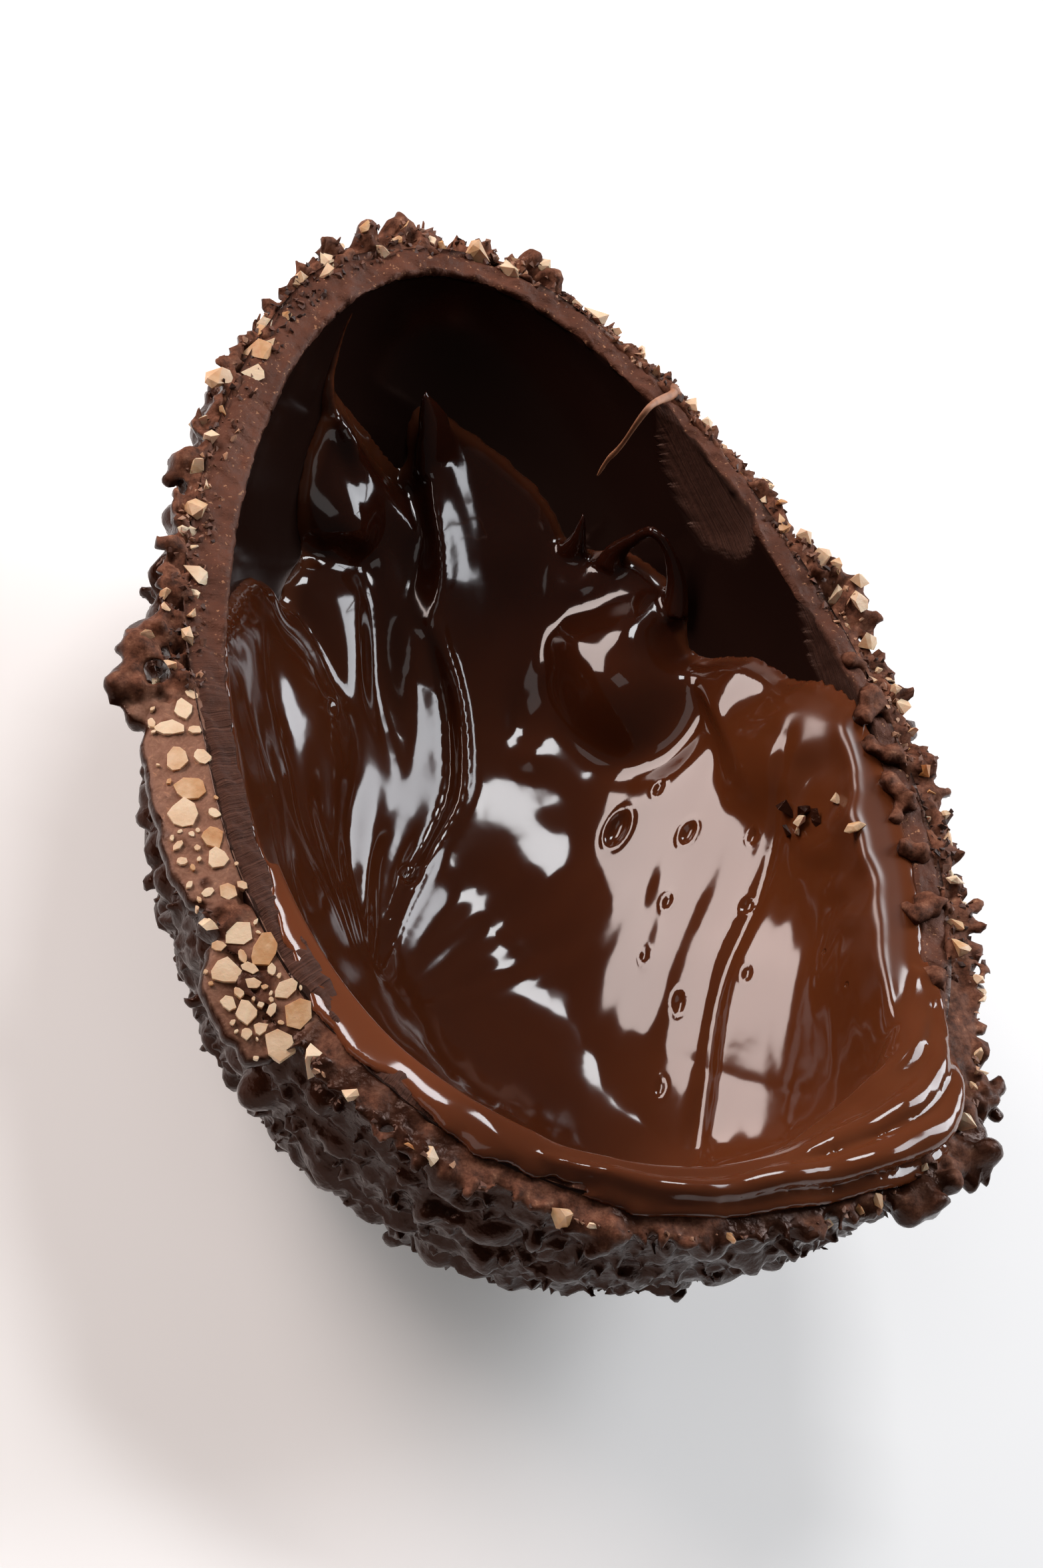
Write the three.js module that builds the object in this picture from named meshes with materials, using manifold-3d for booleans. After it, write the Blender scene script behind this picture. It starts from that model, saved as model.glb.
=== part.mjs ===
// Half of a filled chocolate egg, cracked open lengthwise and lying on its back.
// Three pieces, from outside in: a crunchy coat of chocolate and chopped hazelnuts,
// a moulded chocolate shell, and the soft hazelnut cream spread inside it.
// Millimetres, +Z up. The open face is level, the narrow end points along +Y.
import * as THREE from "three";
import { mergeVertices } from "three/addons/utils/BufferGeometryUtils.js";
import Module from "manifold-3d";

const wasm = await Module();
wasm.setup();

// The egg as a whole
const EGG_LENGTH = 192;
const EGG_WIDTH = 133;
const BACK_DEPTH_SHARE = 0.945; // depth of the half over half its width
const TAPER = 0.223; // how much narrower one end is
const COAT_THICKNESS = 6.5;
const SHELL_THICKNESS = 4.6;
const FIT_GAP = 0.3; // between pieces that touch

// The coat
const COAT_GRID = 38; // squares across the unrolled half egg
const LUMP_COUNT = 520;
const LUMP_RADIUS = [3.2, 6.2];
const LUMP_HEIGHT = [1.5, 3.6];
const COAT_HOLLOWS = 1.3; // how far the coat sinks between its lumps
const RIM_CRUMBLE = 1.1;
const RIM_NUT_COUNT = 44;
const RIM_NUT_RADIUS = [1.5, 2.6];
const FOOT_HEIGHT = 61.2; // from the flat spot up to the open face
const FOOT_SMOOTH_RADIUS = 26;

// Walls and cream
const WALL_GRID = 18;
const CREAM_GRID = 41;
const CREAM_BELLY = 8.5;
const CREAM_EDGE_HEIGHT = 3.4;
const CREAM_EDGE_WIDTH = 4.5;
const CREAM_RIM_WIDTH = 7;
const OUTSIDE_WALL = -2; // where there is no cream the free space reaches past the wall

const HALF_LENGTH = EGG_LENGTH / 2;
const HALF_WIDTH = EGG_WIDTH / 2;
const HOLLOW_INSET = COAT_THICKNESS + SHELL_THICKNESS;
const HOLLOW_LENGTH = HALF_LENGTH - HOLLOW_INSET;
const HOLLOW_WIDTH = HALF_WIDTH - HOLLOW_INSET;

const WIDEST = (1 - Math.sqrt(1 + 4 * TAPER * TAPER)) / (2 * TAPER);
const WIDEST_RADIUS = Math.sqrt(1 - WIDEST * WIDEST) * Math.exp(-TAPER * WIDEST);
const FOOT_Y = WIDEST * HALF_LENGTH;

// ---------- small helpers ----------

function seeded(seed) {
  let state = seed;
  return (low = 0, high = 1) => {
    state = (state + 0x6d2b79f5) | 0;
    let bits = Math.imul(state ^ (state >>> 15), 1 | state);
    bits = (bits + Math.imul(bits ^ (bits >>> 7), 61 | bits)) ^ bits;
    return low + (high - low) * (((bits ^ (bits >>> 14)) >>> 0) / 4294967296);
  };
}

function smooth(low, high, value) {
  return THREE.MathUtils.smoothstep(value, low, high);
}

function degreesApart(a, b) {
  return Math.abs(((a - b + 540) % 360) - 180);
}

// 1 between two rim bearings (degrees, counter-clockwise), fading out over `fade` degrees
function sector(bearing, from, to, fade = 6) {
  const middle = (from + to) / 2;
  const half = (to - from) / 2;
  return 1 - smooth(half - fade / 2, half + fade / 2, degreesApart(bearing, middle));
}

// ---------- egg surfaces ----------

// A unit vector on the lower half sphere stands for a place on every layer of the egg.
function place(u, v) {
  let radius = 0;
  let turn = 0;
  if (Math.abs(u) > Math.abs(v)) {
    radius = u;
    turn = (Math.PI / 4) * (v / u);
  } else if (v !== 0) {
    radius = v;
    turn = Math.PI / 2 - (Math.PI / 4) * (u / v);
  }
  const spread = radius * Math.sqrt(2 - radius * radius);
  return new THREE.Vector3(Math.cos(turn) * spread, Math.sin(turn) * spread, radius * radius - 1);
}

function eggPoint(direction, inset) {
  const width = Math.exp(-TAPER * direction.y) / WIDEST_RADIUS;
  const radius = HALF_WIDTH - inset;
  return new THREE.Vector3(
    radius * width * direction.x,
    (HALF_LENGTH - inset) * direction.y,
    radius * BACK_DEPTH_SHARE * width * direction.z,
  );
}

function rimBearing(direction) {
  return (THREE.MathUtils.radToDeg(Math.atan2(direction.y, direction.x)) + 360) % 360;
}

function rimDirection(bearing) {
  const turn = THREE.MathUtils.degToRad(bearing);
  return new THREE.Vector3(Math.cos(turn), Math.sin(turn), 0);
}

// Places on the hollow's wall are given unrolled: millimetres across and along the wall,
// measured from the bottom of the hollow.
function unrolled(direction) {
  const fromBottom = Math.acos(THREE.MathUtils.clamp(-direction.z, -1, 1));
  const turn = Math.atan2(direction.y, direction.x);
  return new THREE.Vector2(
    fromBottom * HOLLOW_WIDTH * Math.cos(turn),
    fromBottom * HOLLOW_LENGTH * Math.sin(turn),
  );
}

function wallPoint(across, along, lift) {
  const x = across / HOLLOW_WIDTH;
  const y = along / HOLLOW_LENGTH;
  const fromBottom = Math.hypot(x, y);
  const spread = fromBottom > 0 ? Math.sin(fromBottom) / fromBottom : 1;
  const direction = new THREE.Vector3(x * spread, y * spread, -Math.cos(fromBottom));
  return eggPoint(direction, HOLLOW_INSET + lift);
}

// ---------- solids ----------

function solid(points, triangles) {
  let volume = 0;
  const normal = new THREE.Vector3();
  for (const [a, b, c] of triangles) {
    volume += points[a].dot(normal.crossVectors(points[b], points[c]));
  }
  const outward = volume > 0 ? triangles : triangles.map(([a, b, c]) => [a, c, b]);
  const vertProperties = new Float32Array(points.flatMap((point) => point.toArray()));
  const triVerts = new Uint32Array(outward.flat());
  return new wasm.Manifold(new wasm.Mesh({ numProp: 3, vertProperties, triVerts }));
}

// A bowl-shaped solid: a square grid laid on the half egg, closed by rings above its border.
function bowl(count, surface, rings) {
  const points = [];
  const triangles = [];
  const at = (i, j) => i * (count + 1) + j;
  for (let i = 0; i <= count; i++) {
    for (let j = 0; j <= count; j++) {
      points.push(surface(place((2 * i) / count - 1, (2 * j) / count - 1)));
    }
  }
  for (let i = 0; i < count; i++) {
    for (let j = 0; j < count; j++) {
      triangles.push([at(i, j), at(i, j + 1), at(i + 1, j)]);
      triangles.push([at(i + 1, j), at(i, j + 1), at(i + 1, j + 1)]);
    }
  }
  const border = [];
  for (let n = 0; n < count; n++) border.push([n, 0]);
  for (let n = 0; n < count; n++) border.push([count, n]);
  for (let n = count; n > 0; n--) border.push([n, count]);
  for (let n = count; n > 0; n--) border.push([0, n]);
  const directions = border.map(([i, j]) => place((2 * i) / count - 1, (2 * j) / count - 1));
  let outer = border.map(([i, j]) => at(i, j));
  for (const ring of rings) {
    const inner = directions.map((direction) => points.push(ring(direction)) - 1);
    outer.forEach((corner, n) => {
      const next = (n + 1) % outer.length;
      triangles.push([corner, outer[next], inner[n]]);
      triangles.push([outer[next], inner[next], inner[n]]);
    });
    outer = inner;
  }
  const centre = new THREE.Vector3();
  outer.forEach((corner) => centre.add(points[corner]));
  points.push(centre.divideScalar(outer.length));
  outer.forEach((corner, n) => {
    triangles.push([corner, outer[(n + 1) % outer.length], points.length - 1]);
  });
  return solid(points, triangles);
}

// A smooth half egg, standing `rise` above the open face so that it cuts cleanly through it.
function smoothHalfEgg(inset, rise) {
  const surface = (direction) => eggPoint(direction, inset);
  const top = (direction) => surface(direction).setZ(rise);
  return bowl(WALL_GRID, surface, rise > 0 ? [top] : []);
}

// A tapering body through stations of { centre, across, through } half-axes.
function loft(stations, sides) {
  const points = [];
  const triangles = [];
  stations.forEach(({ centre, across, through }) => {
    for (let n = 0; n < sides; n++) {
      const turn = (2 * Math.PI * n) / sides;
      const point = centre.clone().addScaledVector(across, Math.cos(turn));
      points.push(point.addScaledVector(through, Math.sin(turn)));
    }
  });
  for (let s = 0; s + 1 < stations.length; s++) {
    for (let n = 0; n < sides; n++) {
      const a = s * sides + n;
      const b = s * sides + ((n + 1) % sides);
      triangles.push([a, b, a + sides], [b, b + sides, a + sides]);
    }
  }
  const last = points.length - sides;
  const start = points.push(stations[0].centre.clone()) - 1;
  const end = points.push(stations[stations.length - 1].centre.clone()) - 1;
  for (let n = 0; n < sides; n++) {
    const next = (n + 1) % sides;
    triangles.push([start, next, n], [end, last + n, last + next]);
  }
  return solid(points, triangles);
}

// An uneven, sharp-edged bit with twenty faces: a chopped nut, a crumb or a clot of coat.
function chip(centre, radius, random, flatness = 0.75) {
  const geometry = new THREE.IcosahedronGeometry(radius, 0);
  geometry.deleteAttribute("normal");
  geometry.deleteAttribute("uv");
  const merged = mergeVertices(geometry);
  const spin = new THREE.Euler(random(0, 6), random(0, 6), random(0, 6));
  const stretch = new THREE.Vector3(random(0.85, 1.3), random(0.8, 1.05), flatness);
  const points = [];
  for (let n = 0; n < merged.attributes.position.count; n++) {
    const point = new THREE.Vector3().fromBufferAttribute(merged.attributes.position, n);
    point.multiplyScalar(random(0.85, 1.12)).multiply(stretch).applyEuler(spin);
    points.push(point.add(centre));
  }
  const index = Array.from(merged.index.array);
  const triangles = [];
  for (let n = 0; n < index.length; n += 3) triangles.push(index.slice(n, n + 3));
  return solid(points, triangles);
}

// ---------- the coat ----------

// Smooth-cut faces where a knife has sliced the coat: rim bearings and outward fall
const CUT_FACES = [
  { from: 181, to: 205, fall: 2.6 },
  { from: 208, to: 222, fall: 3.4 },
];
// Where cream lies over the rim the coat stays below it
const CREAM_OVER_RIM = { from: 214, to: 350 };
// Big clots that stick out of the coat: bearing, inset, height and radius
const CLOTS = [
  [177, -3.2, -2.2, 4.2], [181, -2.2, -3.4, 3.8], [175, 0, -0.8, 3.2], [172, -0.6, -5.2, 3.6],
  [30, -1.6, -0.6, 4.2], [27.5, -3.2, -1.6, 3.4], [33, -1.4, -2.2, 3],
  [105, 1.2, 0.2, 3], [97, 0.6, -0.4, 2.8], [112, 1.4, 0, 2.8],
  [78, 0.4, 0.2, 2.6], [70, 1.2, 0, 2.5],
  [303, -1.2, -3.2, 5.2], [311, -2.4, -4, 5.6], [319, -1.4, -3.4, 4.4], [262, 0.5, -3, 4],
];

function scatterLumps() {
  const random = seeded(11);
  const lumps = [];
  for (let n = 0; n < LUMP_COUNT; n++) {
    const centre = eggPoint(place(random(-1, 1), random(-1, 1)), 0);
    lumps.push({ centre, radius: random(...LUMP_RADIUS), height: random(...LUMP_HEIGHT) });
  }
  return lumps;
}

const lumps = scatterLumps();

function coatThicker(direction) {
  const bearing = rimBearing(direction);
  const nearRim = 1 + direction.z;
  const left = 1.1 * sector(bearing, 140, 235, 40);
  const upperRight = -1.9 * sector(bearing, 22, 84, 24);
  const lowerRight = 3.2 * sector(bearing, 292, 326, 24);
  return nearRim * (left + upperRight + lowerRight);
}

function coatOuter(direction) {
  const base = eggPoint(direction, 0);
  let rise = 0;
  for (const { centre, radius, height } of lumps) {
    const distance = base.distanceTo(centre) / radius;
    if (distance < 1) rise = Math.max(rise, height * (1 - distance ** 3));
  }
  const fromFoot = Math.hypot(base.x, base.y - FOOT_Y);
  const rough = base.z < 0 ? smooth(0.5 * FOOT_SMOOTH_RADIUS, FOOT_SMOOTH_RADIUS, fromFoot) : 1;
  const point = eggPoint(direction, COAT_HOLLOWS - rise * rough - coatThicker(direction));
  if (direction.z > -1e-6) return point.setZ(rimHeight(direction, 0));
  return point.setZ(Math.max(point.z, -FOOT_HEIGHT));
}

const crumble = seeded(5);

function rimHeight(direction, inward) {
  const bearing = rimBearing(direction);
  const outward = 1 - inward;
  let height = crumble(-RIM_CRUMBLE, 0.8 * RIM_CRUMBLE);
  for (const { from, to, fall } of CUT_FACES) {
    height = THREE.MathUtils.lerp(height, -fall * outward, sector(bearing, from, to, 3));
  }
  const covered = sector(bearing, CREAM_OVER_RIM.from, CREAM_OVER_RIM.to, 6);
  return THREE.MathUtils.lerp(height, -1.5 * outward - 0.2, covered);
}

function nearCutFace(bearing) {
  return CUT_FACES.some(({ from, to }) => bearing > from - 3 && bearing < to + 3);
}

function rimNuts() {
  const random = seeded(23);
  const nuts = [];
  for (let n = 0; n < RIM_NUT_COUNT; n++) {
    const bearing = (360 * (n + random(0.1, 0.9))) / RIM_NUT_COUNT;
    const covered = sector(bearing, CREAM_OVER_RIM.from, CREAM_OVER_RIM.to) > 0.01;
    const inset = covered ? random(-0.6, 0.6) : random(0.2, 4.4);
    const drop = covered ? random(2.6, 5) : random(-0.9, 0.5);
    const radius = random(...RIM_NUT_RADIUS);
    if (nearCutFace(bearing)) continue;
    const centre = eggPoint(rimDirection(bearing), inset - coatThicker(rimDirection(bearing)));
    nuts.push(chip(centre.setZ(-drop), radius, random));
  }
  return nuts;
}

function coatClots() {
  const random = seeded(31);
  return CLOTS.map(([bearing, inset, height, radius]) => {
    const direction = rimDirection(bearing);
    const centre = eggPoint(direction, inset - coatThicker(direction));
    return chip(centre.setZ(height), radius, random, 0.9);
  });
}

function makeCoat() {
  const ring = (inset, inward) => (direction) => {
    return eggPoint(direction, inset).setZ(rimHeight(direction, inward));
  };
  const top = [ring(0.55 * COAT_THICKNESS, 0.55), ring(COAT_THICKNESS + 3, 1)];
  const outside = bowl(COAT_GRID, coatOuter, top);
  const whole = wasm.Manifold.union([outside, ...rimNuts(), ...coatClots()]);
  return whole.subtract(smoothHalfEgg(COAT_THICKNESS, 12));
}

// ---------- the shell ----------

// A shallow bite scraped out of the inner edge
const SCRAPE = { across: 50, along: 59, lift: 3.2, halfLength: 10.5, halfWidth: 8, depth: 5.4 };

function makeShell() {
  const body = smoothHalfEgg(COAT_THICKNESS + FIT_GAP, 0);
  const shell = body.subtract(smoothHalfEgg(HOLLOW_INSET, 12));
  const { across, along, lift, halfLength, halfWidth, depth } = SCRAPE;
  const centre = wallPoint(across, along, lift);
  const inward = centre.clone().sub(wallPoint(across, along, 0)).normalize();
  const lengthwise = wallPoint(across - 4, along + 8, lift).sub(centre).normalize();
  const sideways = new THREE.Vector3().crossVectors(lengthwise, inward);
  const stations = [-0.97, -0.7, -0.25, 0.25, 0.7, 0.97].map((share) => {
    const size = Math.sqrt(1 - share * share);
    return {
      centre: centre.clone().addScaledVector(lengthwise, share * halfLength),
      across: sideways.clone().multiplyScalar(size * halfWidth),
      through: inward.clone().multiplyScalar(size * depth),
    };
  });
  return shell.subtract(loft(stations, 12));
}

// ---------- the cream ----------

// Edge of the spread cream on the wall; the part beyond the rim is never reached.
const CREAM_OUTLINE = [
  [-120, 6], [-84, 14], [-66, 30], [-50, 43], [-43, 46.5], [-34, 48], [-28, 44], [-24, 51],
  [-19, 54.5], [-12, 56], [-8, 62], [2, 70], [8, 80], [18, 79], [26, 71], [30, 61], [36, 60],
  [43, 59.5], [50, 57], [54.5, 50], [54, 41], [56, 37], [61, 34], [66, 29.5], [71, 25],
  [79, 18], [92, 4], [130, -10], [130, -170], [-130, -170],
].map(([across, along]) => new THREE.Vector2(across, along));

// Soft rises and hollows: middle, half-axes, turn in degrees, height
const CREAM_SWELLS = [
  { at: [40, 37], axes: [11.5, 12.5], turn: 0, height: 5.5 },
  { at: [49, 45], axes: [4.5, 4.5], turn: 0, height: 2 },
  { at: [37, 45], axes: [4, 4], turn: 0, height: 1.8 },
  { at: [-40, 30], axes: [9, 21], turn: 8, height: 4.5 },
  { at: [-20, 43], axes: [7.5, 16], turn: -6, height: 4 },
  { at: [-29, 44], axes: [2.6, 12], turn: 0, height: -3 },
  { at: [0, 34], axes: [5.5, 11], turn: -6, height: -5.5 },
  { at: [12, 4], axes: [15, 12], turn: -30, height: 2.2 },
  { at: [21, 25], axes: [3.5, 6], turn: -10, height: 2 },
  { at: [24, 67], axes: [3.5, 5.5], turn: 0, height: 2.2 },
  { at: [29, 59], axes: [4, 3.5], turn: 0, height: 2 },
  { at: [36, 57], axes: [4, 4], turn: 0, height: 1.6 },
  { at: [61, 27], axes: [6, 9], turn: 30, height: 2.4 },
  { at: [-30, -2], axes: [12, 18], turn: 0, height: 1.8 },
  { at: [62, -66], axes: [9, 22], turn: -50, height: 3.5 },
];

// Long crests drawn up by the spatula: a path, half-width and height
const CREAM_CRESTS = [
  { path: [[3, 45], [6, 34], [6.5, 22], [5, 13], [-1, 4], [-9, -6], [-17, -15]], width: 4, height: 3 },
  { path: [[53, 37], [58, 25], [59, 13], [56, 5], [46, 1]], width: 5.5, height: 2.2 },
  { path: [[-12, 58], [-7, 64], [-3, 68]], width: 4, height: 3 },
];

// Peaks pulled up off the wall: [across, along, lift, half-width, half-thickness]
const CREAM_PEAKS = [
  [[12, 62, 3, 15, 4], [11, 72, 5, 11.5, 3.6], [8, 82, 7, 7.5, 3], [3, 91, 8, 4, 2.2],
    [-2, 98, 8.5, 1.6, 1.2], [-4, 102, 9, 0.5, 0.5]],
  [[-22, 55, 3, 4, 3], [-27, 63, 4, 5.2, 4], [-28, 71, 4.5, 4.2, 3.4], [-26, 80, 4.5, 2.4, 2.2],
    [-29, 93, 3.4, 1.5, 1.5], [-38, 108, 2.4, 1.2, 1.2], [-41, 116, 2.2, 1.1, 1]],
  [[-2, 64, 3, 6, 4], [-7, 70, 4.5, 4.5, 3.4], [-14, 76, 5, 3, 2.6], [-22, 82, 5, 2.2, 2]],
  [[34, 58, 3, 3, 2.6], [38, 64, 5, 1.5, 1.4], [39, 71, 6, 0.5, 0.5]],
  [[41, 58, 3, 3, 2.5], [50, 63, 6, 1.5, 1.6], [58, 67, 8, 1.2, 1.2], [59, 61, 6.5, 1.6, 1.5],
    [57, 52, 4, 2, 2]],
];

// Cream smeared over the rim: bearing, reach outward past the wall, height above the rim
const CREAM_LIP = [
  [214, 0.8, 1], [218, 3.6, 1.4], [223, 5.6, 1.6], [228, 4, 2], [234, 3, 2.6], [240, 4.2, 2.2],
  [246, 3.2, 3], [252, 5, 2.4], [260, 4.2, 3], [270, 3.4, 3.4], [280, 4.6, 3.6], [290, 6, 4],
  [298, 8.5, 4.6], [305, 11, 4.4], [312, 10, 3.6], [319, 6.4, 2.6], [327, 4, 2], [335, 3.4, 1.8],
  [343, 2, 1.4], [349, 0.6, 1],
];

// Crumbs and slivers lying on the cream: across, along, lift, radius, flatness
const CREAM_CRUMBS = [[73, -14, 8.2, 3.1, 0.8], [75, -10, 7.6, 2, 0.8], [80, -19, 5.4, 2.4, 0.45]];

function distanceToSegment(point, start, end) {
  const edge = end.clone().sub(start);
  const from = point.clone().sub(start);
  const share = THREE.MathUtils.clamp(from.dot(edge) / edge.lengthSq(), 0, 1);
  return from.addScaledVector(edge, -share).length();
}

// Positive inside the closed outline, negative outside
function signedDistance(point, outline) {
  let nearest = Infinity;
  let inside = false;
  outline.forEach((start, n) => {
    const end = outline[(n + 1) % outline.length];
    nearest = Math.min(nearest, distanceToSegment(point, start, end));
    const crosses = start.y > point.y !== end.y > point.y;
    const at = start.x + ((point.y - start.y) / (end.y - start.y)) * (end.x - start.x);
    if (crosses && point.x < at) inside = !inside;
  });
  return inside ? nearest : -nearest;
}

function distanceToPath(point, path) {
  let nearest = Infinity;
  for (let n = 0; n + 1 < path.length; n++) {
    const start = new THREE.Vector2(...path[n]);
    const end = new THREE.Vector2(...path[n + 1]);
    nearest = Math.min(nearest, distanceToSegment(point, start, end));
  }
  return nearest;
}

function swellHeight(point, { at, axes, turn, height }) {
  const angle = THREE.MathUtils.degToRad(turn);
  const local = point.clone().sub(new THREE.Vector2(...at)).rotateAround(new THREE.Vector2(), -angle);
  const distance = Math.hypot(local.x / axes[0], local.y / axes[1]);
  return distance < 1 ? height * (1 - distance ** 2) ** 1.3 : 0;
}

function creamDepth(direction) {
  const point = unrolled(direction);
  const inside = signedDistance(point, CREAM_OUTLINE);
  if (inside < 0) return Math.max(OUTSIDE_WALL, 3 * inside);
  const roundEdge = Math.min(inside / CREAM_EDGE_WIDTH, 1);
  let depth = CREAM_EDGE_HEIGHT * Math.sqrt(1 - (1 - roundEdge) ** 2);
  depth += (CREAM_BELLY - CREAM_EDGE_HEIGHT) * smooth(0, 30, inside);
  for (const swell of CREAM_SWELLS) depth += swellHeight(point, swell);
  for (const { path, width, height } of CREAM_CRESTS) {
    depth += height * Math.exp(-((distanceToPath(point, path) / width) ** 2));
  }
  const belowRim = HOLLOW_WIDTH * Math.asin(THREE.MathUtils.clamp(-direction.z, 0, 1));
  const bearing = rimBearing(direction);
  const spills = sector(bearing, CREAM_OVER_RIM.from, CREAM_OVER_RIM.to, 10);
  const toRim = Math.sqrt(1 - (1 - Math.min(belowRim / CREAM_RIM_WIDTH, 1)) ** 2);
  return depth * THREE.MathUtils.lerp(toRim, 0.55 + 0.45 * toRim, spills);
}

function creamPeaks() {
  return CREAM_PEAKS.map((peak) => {
    const spine = peak.map(([across, along, lift]) => wallPoint(across, along, lift));
    const stations = peak.map(([across, along, lift, halfWidth, halfThickness], n) => {
      const before = spine[Math.max(n - 1, 0)];
      const after = spine[Math.min(n + 1, spine.length - 1)];
      const forward = after.clone().sub(before).normalize();
      const off = wallPoint(across, along, lift + 1).sub(spine[n]).normalize();
      const sideways = new THREE.Vector3().crossVectors(forward, off).normalize();
      return {
        centre: spine[n],
        across: sideways.multiplyScalar(halfWidth),
        through: off.multiplyScalar(halfThickness),
      };
    });
    return loft(stations, 8);
  });
}

// The lip's section runs from inside the hollow, over the rim and out.
function lipSection(reach, height) {
  const underside = FIT_GAP + 0.1;
  return [
    [-5, -3], [-1, -3], [-FIT_GAP, underside], [reach, underside],
    [reach + 0.3, 0.5 * height + underside], [0.6 * reach, height + 0.5],
    [-1.6, height + 0.2], [-5, 0.4 * height],
  ].map(([outward, z]) => new THREE.Vector2(outward, z));
}

function creamLip() {
  const points = [];
  const triangles = [];
  for (const [bearing, reach, height] of CREAM_LIP) {
    for (const corner of lipSection(reach, height)) {
      const point = eggPoint(rimDirection(bearing), HOLLOW_INSET - corner.x);
      points.push(point.setZ(corner.y));
    }
  }
  const caps = THREE.ShapeUtils.triangulateShape(lipSection(1, 1), []);
  const corners = lipSection(1, 1).length;
  for (let s = 0; s + 1 < CREAM_LIP.length; s++) {
    for (let n = 0; n < corners; n++) {
      const a = s * corners + n;
      const b = s * corners + ((n + 1) % corners);
      triangles.push([a, b, a + corners], [b, b + corners, a + corners]);
    }
  }
  const last = points.length - corners;
  for (const [a, b, c] of caps) {
    triangles.push([a, c, b], [last + a, last + b, last + c]);
  }
  return solid(points, triangles);
}

function creamCrumbs() {
  const random = seeded(47);
  return CREAM_CRUMBS.map(([across, along, lift, radius, flatness]) => {
    return chip(wallPoint(across, along, lift), radius, random, flatness);
  });
}

function makeCream() {
  const free = (direction) => eggPoint(direction, HOLLOW_INSET + creamDepth(direction));
  const freeSpace = bowl(CREAM_GRID, free, [(direction) => free(direction).setZ(14)]);
  const spread = smoothHalfEgg(HOLLOW_INSET + FIT_GAP, 0).subtract(freeSpace);
  const raised = wasm.Manifold.union([...creamPeaks(), ...creamCrumbs()]);
  const kept = raised.intersect(smoothHalfEgg(HOLLOW_INSET + FIT_GAP, 14));
  return wasm.Manifold.union([spread, kept, creamLip()]);
}

// ---------- the egg ----------

const MATERIALS = {
  nut_coat: new THREE.MeshStandardMaterial({ color: 0x4a2f28, roughness: 0.4, metalness: 0 }),
  shell: new THREE.MeshStandardMaterial({ color: 0x2f1c18, roughness: 0.35, metalness: 0 }),
  cream: new THREE.MeshStandardMaterial({ color: 0x4e2213, roughness: 0.15, metalness: 0 }),
};

// Booleans can leave a loose scrap: the biggest body is the piece.
function largest(body) {
  return body.decompose().reduce((best, one) => (one.volume() > best.volume() ? one : best));
}

function mesh(name, body) {
  const { vertProperties, triVerts } = largest(body).getMesh();
  const geometry = new THREE.BufferGeometry();
  geometry.setAttribute("position", new THREE.BufferAttribute(vertProperties, 3));
  geometry.setIndex(new THREE.BufferAttribute(triVerts, 1));
  geometry.computeVertexNormals();
  const piece = new THREE.Mesh(geometry, MATERIALS[name]);
  piece.name = name;
  return piece;
}

const egg = new THREE.Group();
egg.add(mesh("nut_coat", makeCoat()));
egg.add(mesh("shell", makeShell()));
egg.add(mesh("cream", makeCream()));
egg.position.set(0, -FOOT_Y, FOOT_HEIGHT);
egg.updateMatrixWorld(true);

export default egg;
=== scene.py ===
"""Half of a filled chocolate egg, cracked open and lying on its back.

A moulded dark chocolate shell inside a coat of milk chocolate and chopped hazelnuts, with soft
hazelnut cream spread in the hollow. Forms are worked out in millimetres in the egg's own frame
(its open face level at height zero, its middle at zero) and set into the row frame in metres.
"""
import math

import bmesh
import bpy
import numpy as np
from mathutils import Matrix, Vector


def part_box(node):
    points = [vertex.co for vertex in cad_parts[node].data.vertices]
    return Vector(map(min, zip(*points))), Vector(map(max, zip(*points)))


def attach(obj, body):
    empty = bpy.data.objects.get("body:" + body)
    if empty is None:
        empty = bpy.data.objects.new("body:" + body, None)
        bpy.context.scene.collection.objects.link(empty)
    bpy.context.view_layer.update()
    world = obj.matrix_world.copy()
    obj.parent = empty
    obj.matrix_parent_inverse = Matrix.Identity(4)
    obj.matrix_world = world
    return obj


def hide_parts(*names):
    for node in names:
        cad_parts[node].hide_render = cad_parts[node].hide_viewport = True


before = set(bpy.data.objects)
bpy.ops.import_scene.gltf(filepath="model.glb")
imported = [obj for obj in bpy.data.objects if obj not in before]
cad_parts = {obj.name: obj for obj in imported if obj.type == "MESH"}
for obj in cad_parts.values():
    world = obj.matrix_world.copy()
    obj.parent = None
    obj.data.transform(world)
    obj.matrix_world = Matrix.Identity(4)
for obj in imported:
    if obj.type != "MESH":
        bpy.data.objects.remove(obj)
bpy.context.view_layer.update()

# ---------------------------------------------------------------------------------------------
# The shell
# The inner egg of dark chocolate, cast in a polished mould, so its inside is smooth and glossy.
# It broke along the seam: the rim is a matte band with scrape marks, and two patches are
# scraped out of its inner edge on the right.
# ---------------------------------------------------------------------------------------------
# The half egg over its coat. Lengths are in millimetres and bearings round the rim in degrees.
HALF_LENGTH = 96.0
HALF_WIDTH = 66.5
BACK_DEPTH_SHARE = 0.945
TAPER = 0.223
COAT_THICKNESS = 6.5
SHELL_THICKNESS = 4.6
HOLLOW_INSET = COAT_THICKNESS + SHELL_THICKNESS
HOLLOW_WIDTH = HALF_WIDTH - HOLLOW_INSET
HOLLOW_LENGTH = HALF_LENGTH - HOLLOW_INSET
MILLIMETRE = 0.001

# Where along its half-length the tapered egg is widest, and how wide it is there
WIDEST = (1 - math.sqrt(1 + 4 * TAPER**2)) / (2 * TAPER)
WIDEST_RADIUS = math.sqrt(1 - WIDEST**2) * math.exp(-TAPER * WIDEST)

shell_low, shell_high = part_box("shell")
EGG_MIDDLE = Vector((0, (shell_low.y + shell_high.y) / 2, shell_high.z))


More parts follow.
